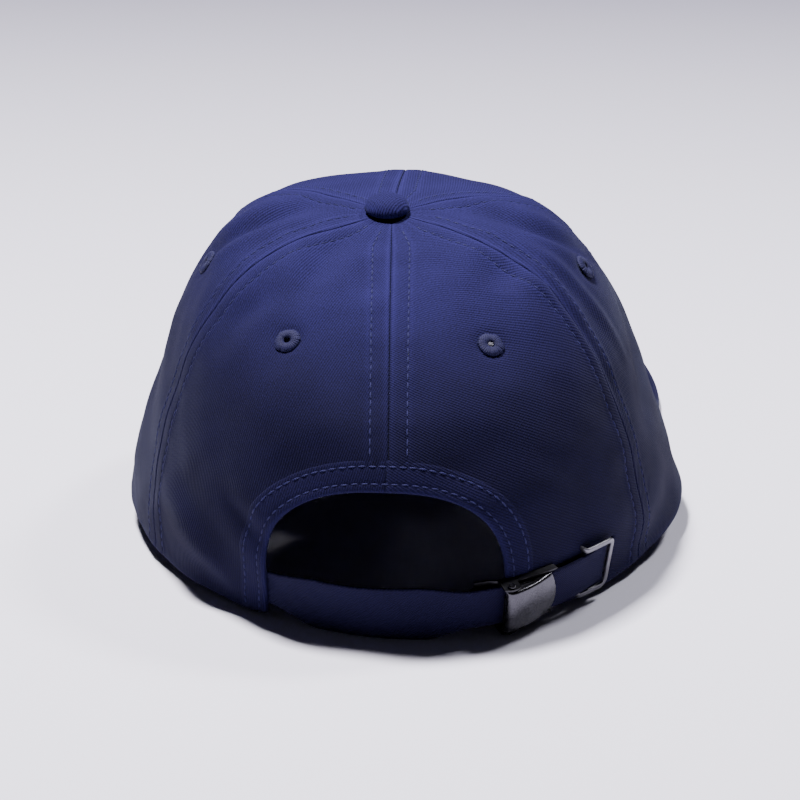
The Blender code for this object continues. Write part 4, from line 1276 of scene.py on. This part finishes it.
def dress_hardware():
    # painted reflection: the frame is given the darker copy of the steel
    dress("buckle_frame", STEEL_DARK, 0.10 * MM)
    dress("buckle_pin", STEEL, 0.10 * MM)
    dress("keeper_plate", STEEL, 0.15 * MM)
    dress("button_shell", STEEL)
    dress("button_rivet", STEEL)
    dress("visor_board", BOARD)
    for side in ("left", "right"):
        dress("stiffener_front_" + side, BUCKRAM)


# ---- stage, light and camera ----

def stage():
    mesh = bpy.data.meshes.new("floor")
    half = 6.0
    mesh.from_pydata([(-half, -half, 0.0), (half, -half, 0.0), (half, half, 0.0), (-half, half, 0.0)], [],
                     [(0, 1, 2, 3)])
    # painted shade: the floor's colour darkens away behind the cap
    mesh.materials.append(paper("pale_floor_painted_shade", (0.08, 0.07, 0.13), (0.82, 0.80, 0.93)))
    ob = bpy.data.objects.new("floor", mesh)
    ob.location.z = TABLE_TOP - 0.0002
    bpy.context.scene.collection.objects.link(ob)


LAMP_SIZE = 0.22
LIT = Vector((0.0, 0.03, 0.04))     # the point on the cap that the lamps face


def area_light(name, place, watts, colour):
    data = bpy.data.lights.new(name, "AREA")
    data.shape = "RECTANGLE"
    data.size = LAMP_SIZE
    data.size_y = LAMP_SIZE
    data.energy = watts
    data.color = colour
    ob = bpy.data.objects.new(name, data)
    ob.location = place
    ob.rotation_euler = (Vector(place) - LIT).to_track_quat("Z", "Y").to_euler()
    bpy.context.scene.collection.objects.link(ob)


def lights():
    area_light("key", (0.30, -0.17, 1.38), 62.0, (1.0, 0.985, 0.985))
    area_light("side", (-0.70, -0.42, 1.20), 14.0, (0.98, 0.98, 1.0))
    world = bpy.data.worlds.new("studio")
    world.use_nodes = True
    back = world.node_tree.nodes["Background"]
    back.inputs["Color"].default_value = (0.80, 0.82, 0.92, 1.0)
    back.inputs["Strength"].default_value = 0.025
    bpy.context.scene.world = world


CAMERA_RISE = radians(29.4)         # over the plane of the rim
CAMERA_YAW = radians(-2.515)        # from straight behind the cap
CAMERA_AWAY = 0.975
LENS = 134.86                       # on a 36 mm sensor


def camera():
    back = Vector((cos(CAMERA_RISE) * sin(CAMERA_YAW), cos(CAMERA_RISE) * cos(CAMERA_YAW), sin(CAMERA_RISE)))
    right = Vector((-cos(CAMERA_YAW), sin(CAMERA_YAW), 0.0))
    place = Matrix((right, back.cross(right), back)).transposed().to_4x4()
    place.translation = back * CAMERA_AWAY
    data = bpy.data.cameras.new("camera")
    data.lens = LENS
    data.sensor_width = 36.0
    data.shift_x = -0.0041
    data.shift_y = 0.1004
    ob = bpy.data.objects.new("camera", data)
    ob.matrix_world = TO_WORLD @ place
    bpy.context.scene.collection.objects.link(ob)
    bpy.context.scene.camera = ob


# ---- build ----

for panel, start in PANELS.items():
    crown_panel(panel, start)
crown_stitches()
for panel, (seam, low, out) in TAPES.items():
    seam_tape(panel, seam, low, out)
arch_hem()
for panel, (turn, rise) in EYELETS.items():
    eyelet(panel, turn, rise)
button()
sweatband()
care_label()
strap()
lever()
keeper()
buckle_tab()
visor_cloth("visor_top_cloth", True, "visor_top_cover")
visor_cloth("visor_under_cloth", False, "visor_under_cover")
visor_stitches()
dress_hardware()
stage()
lights()
camera()
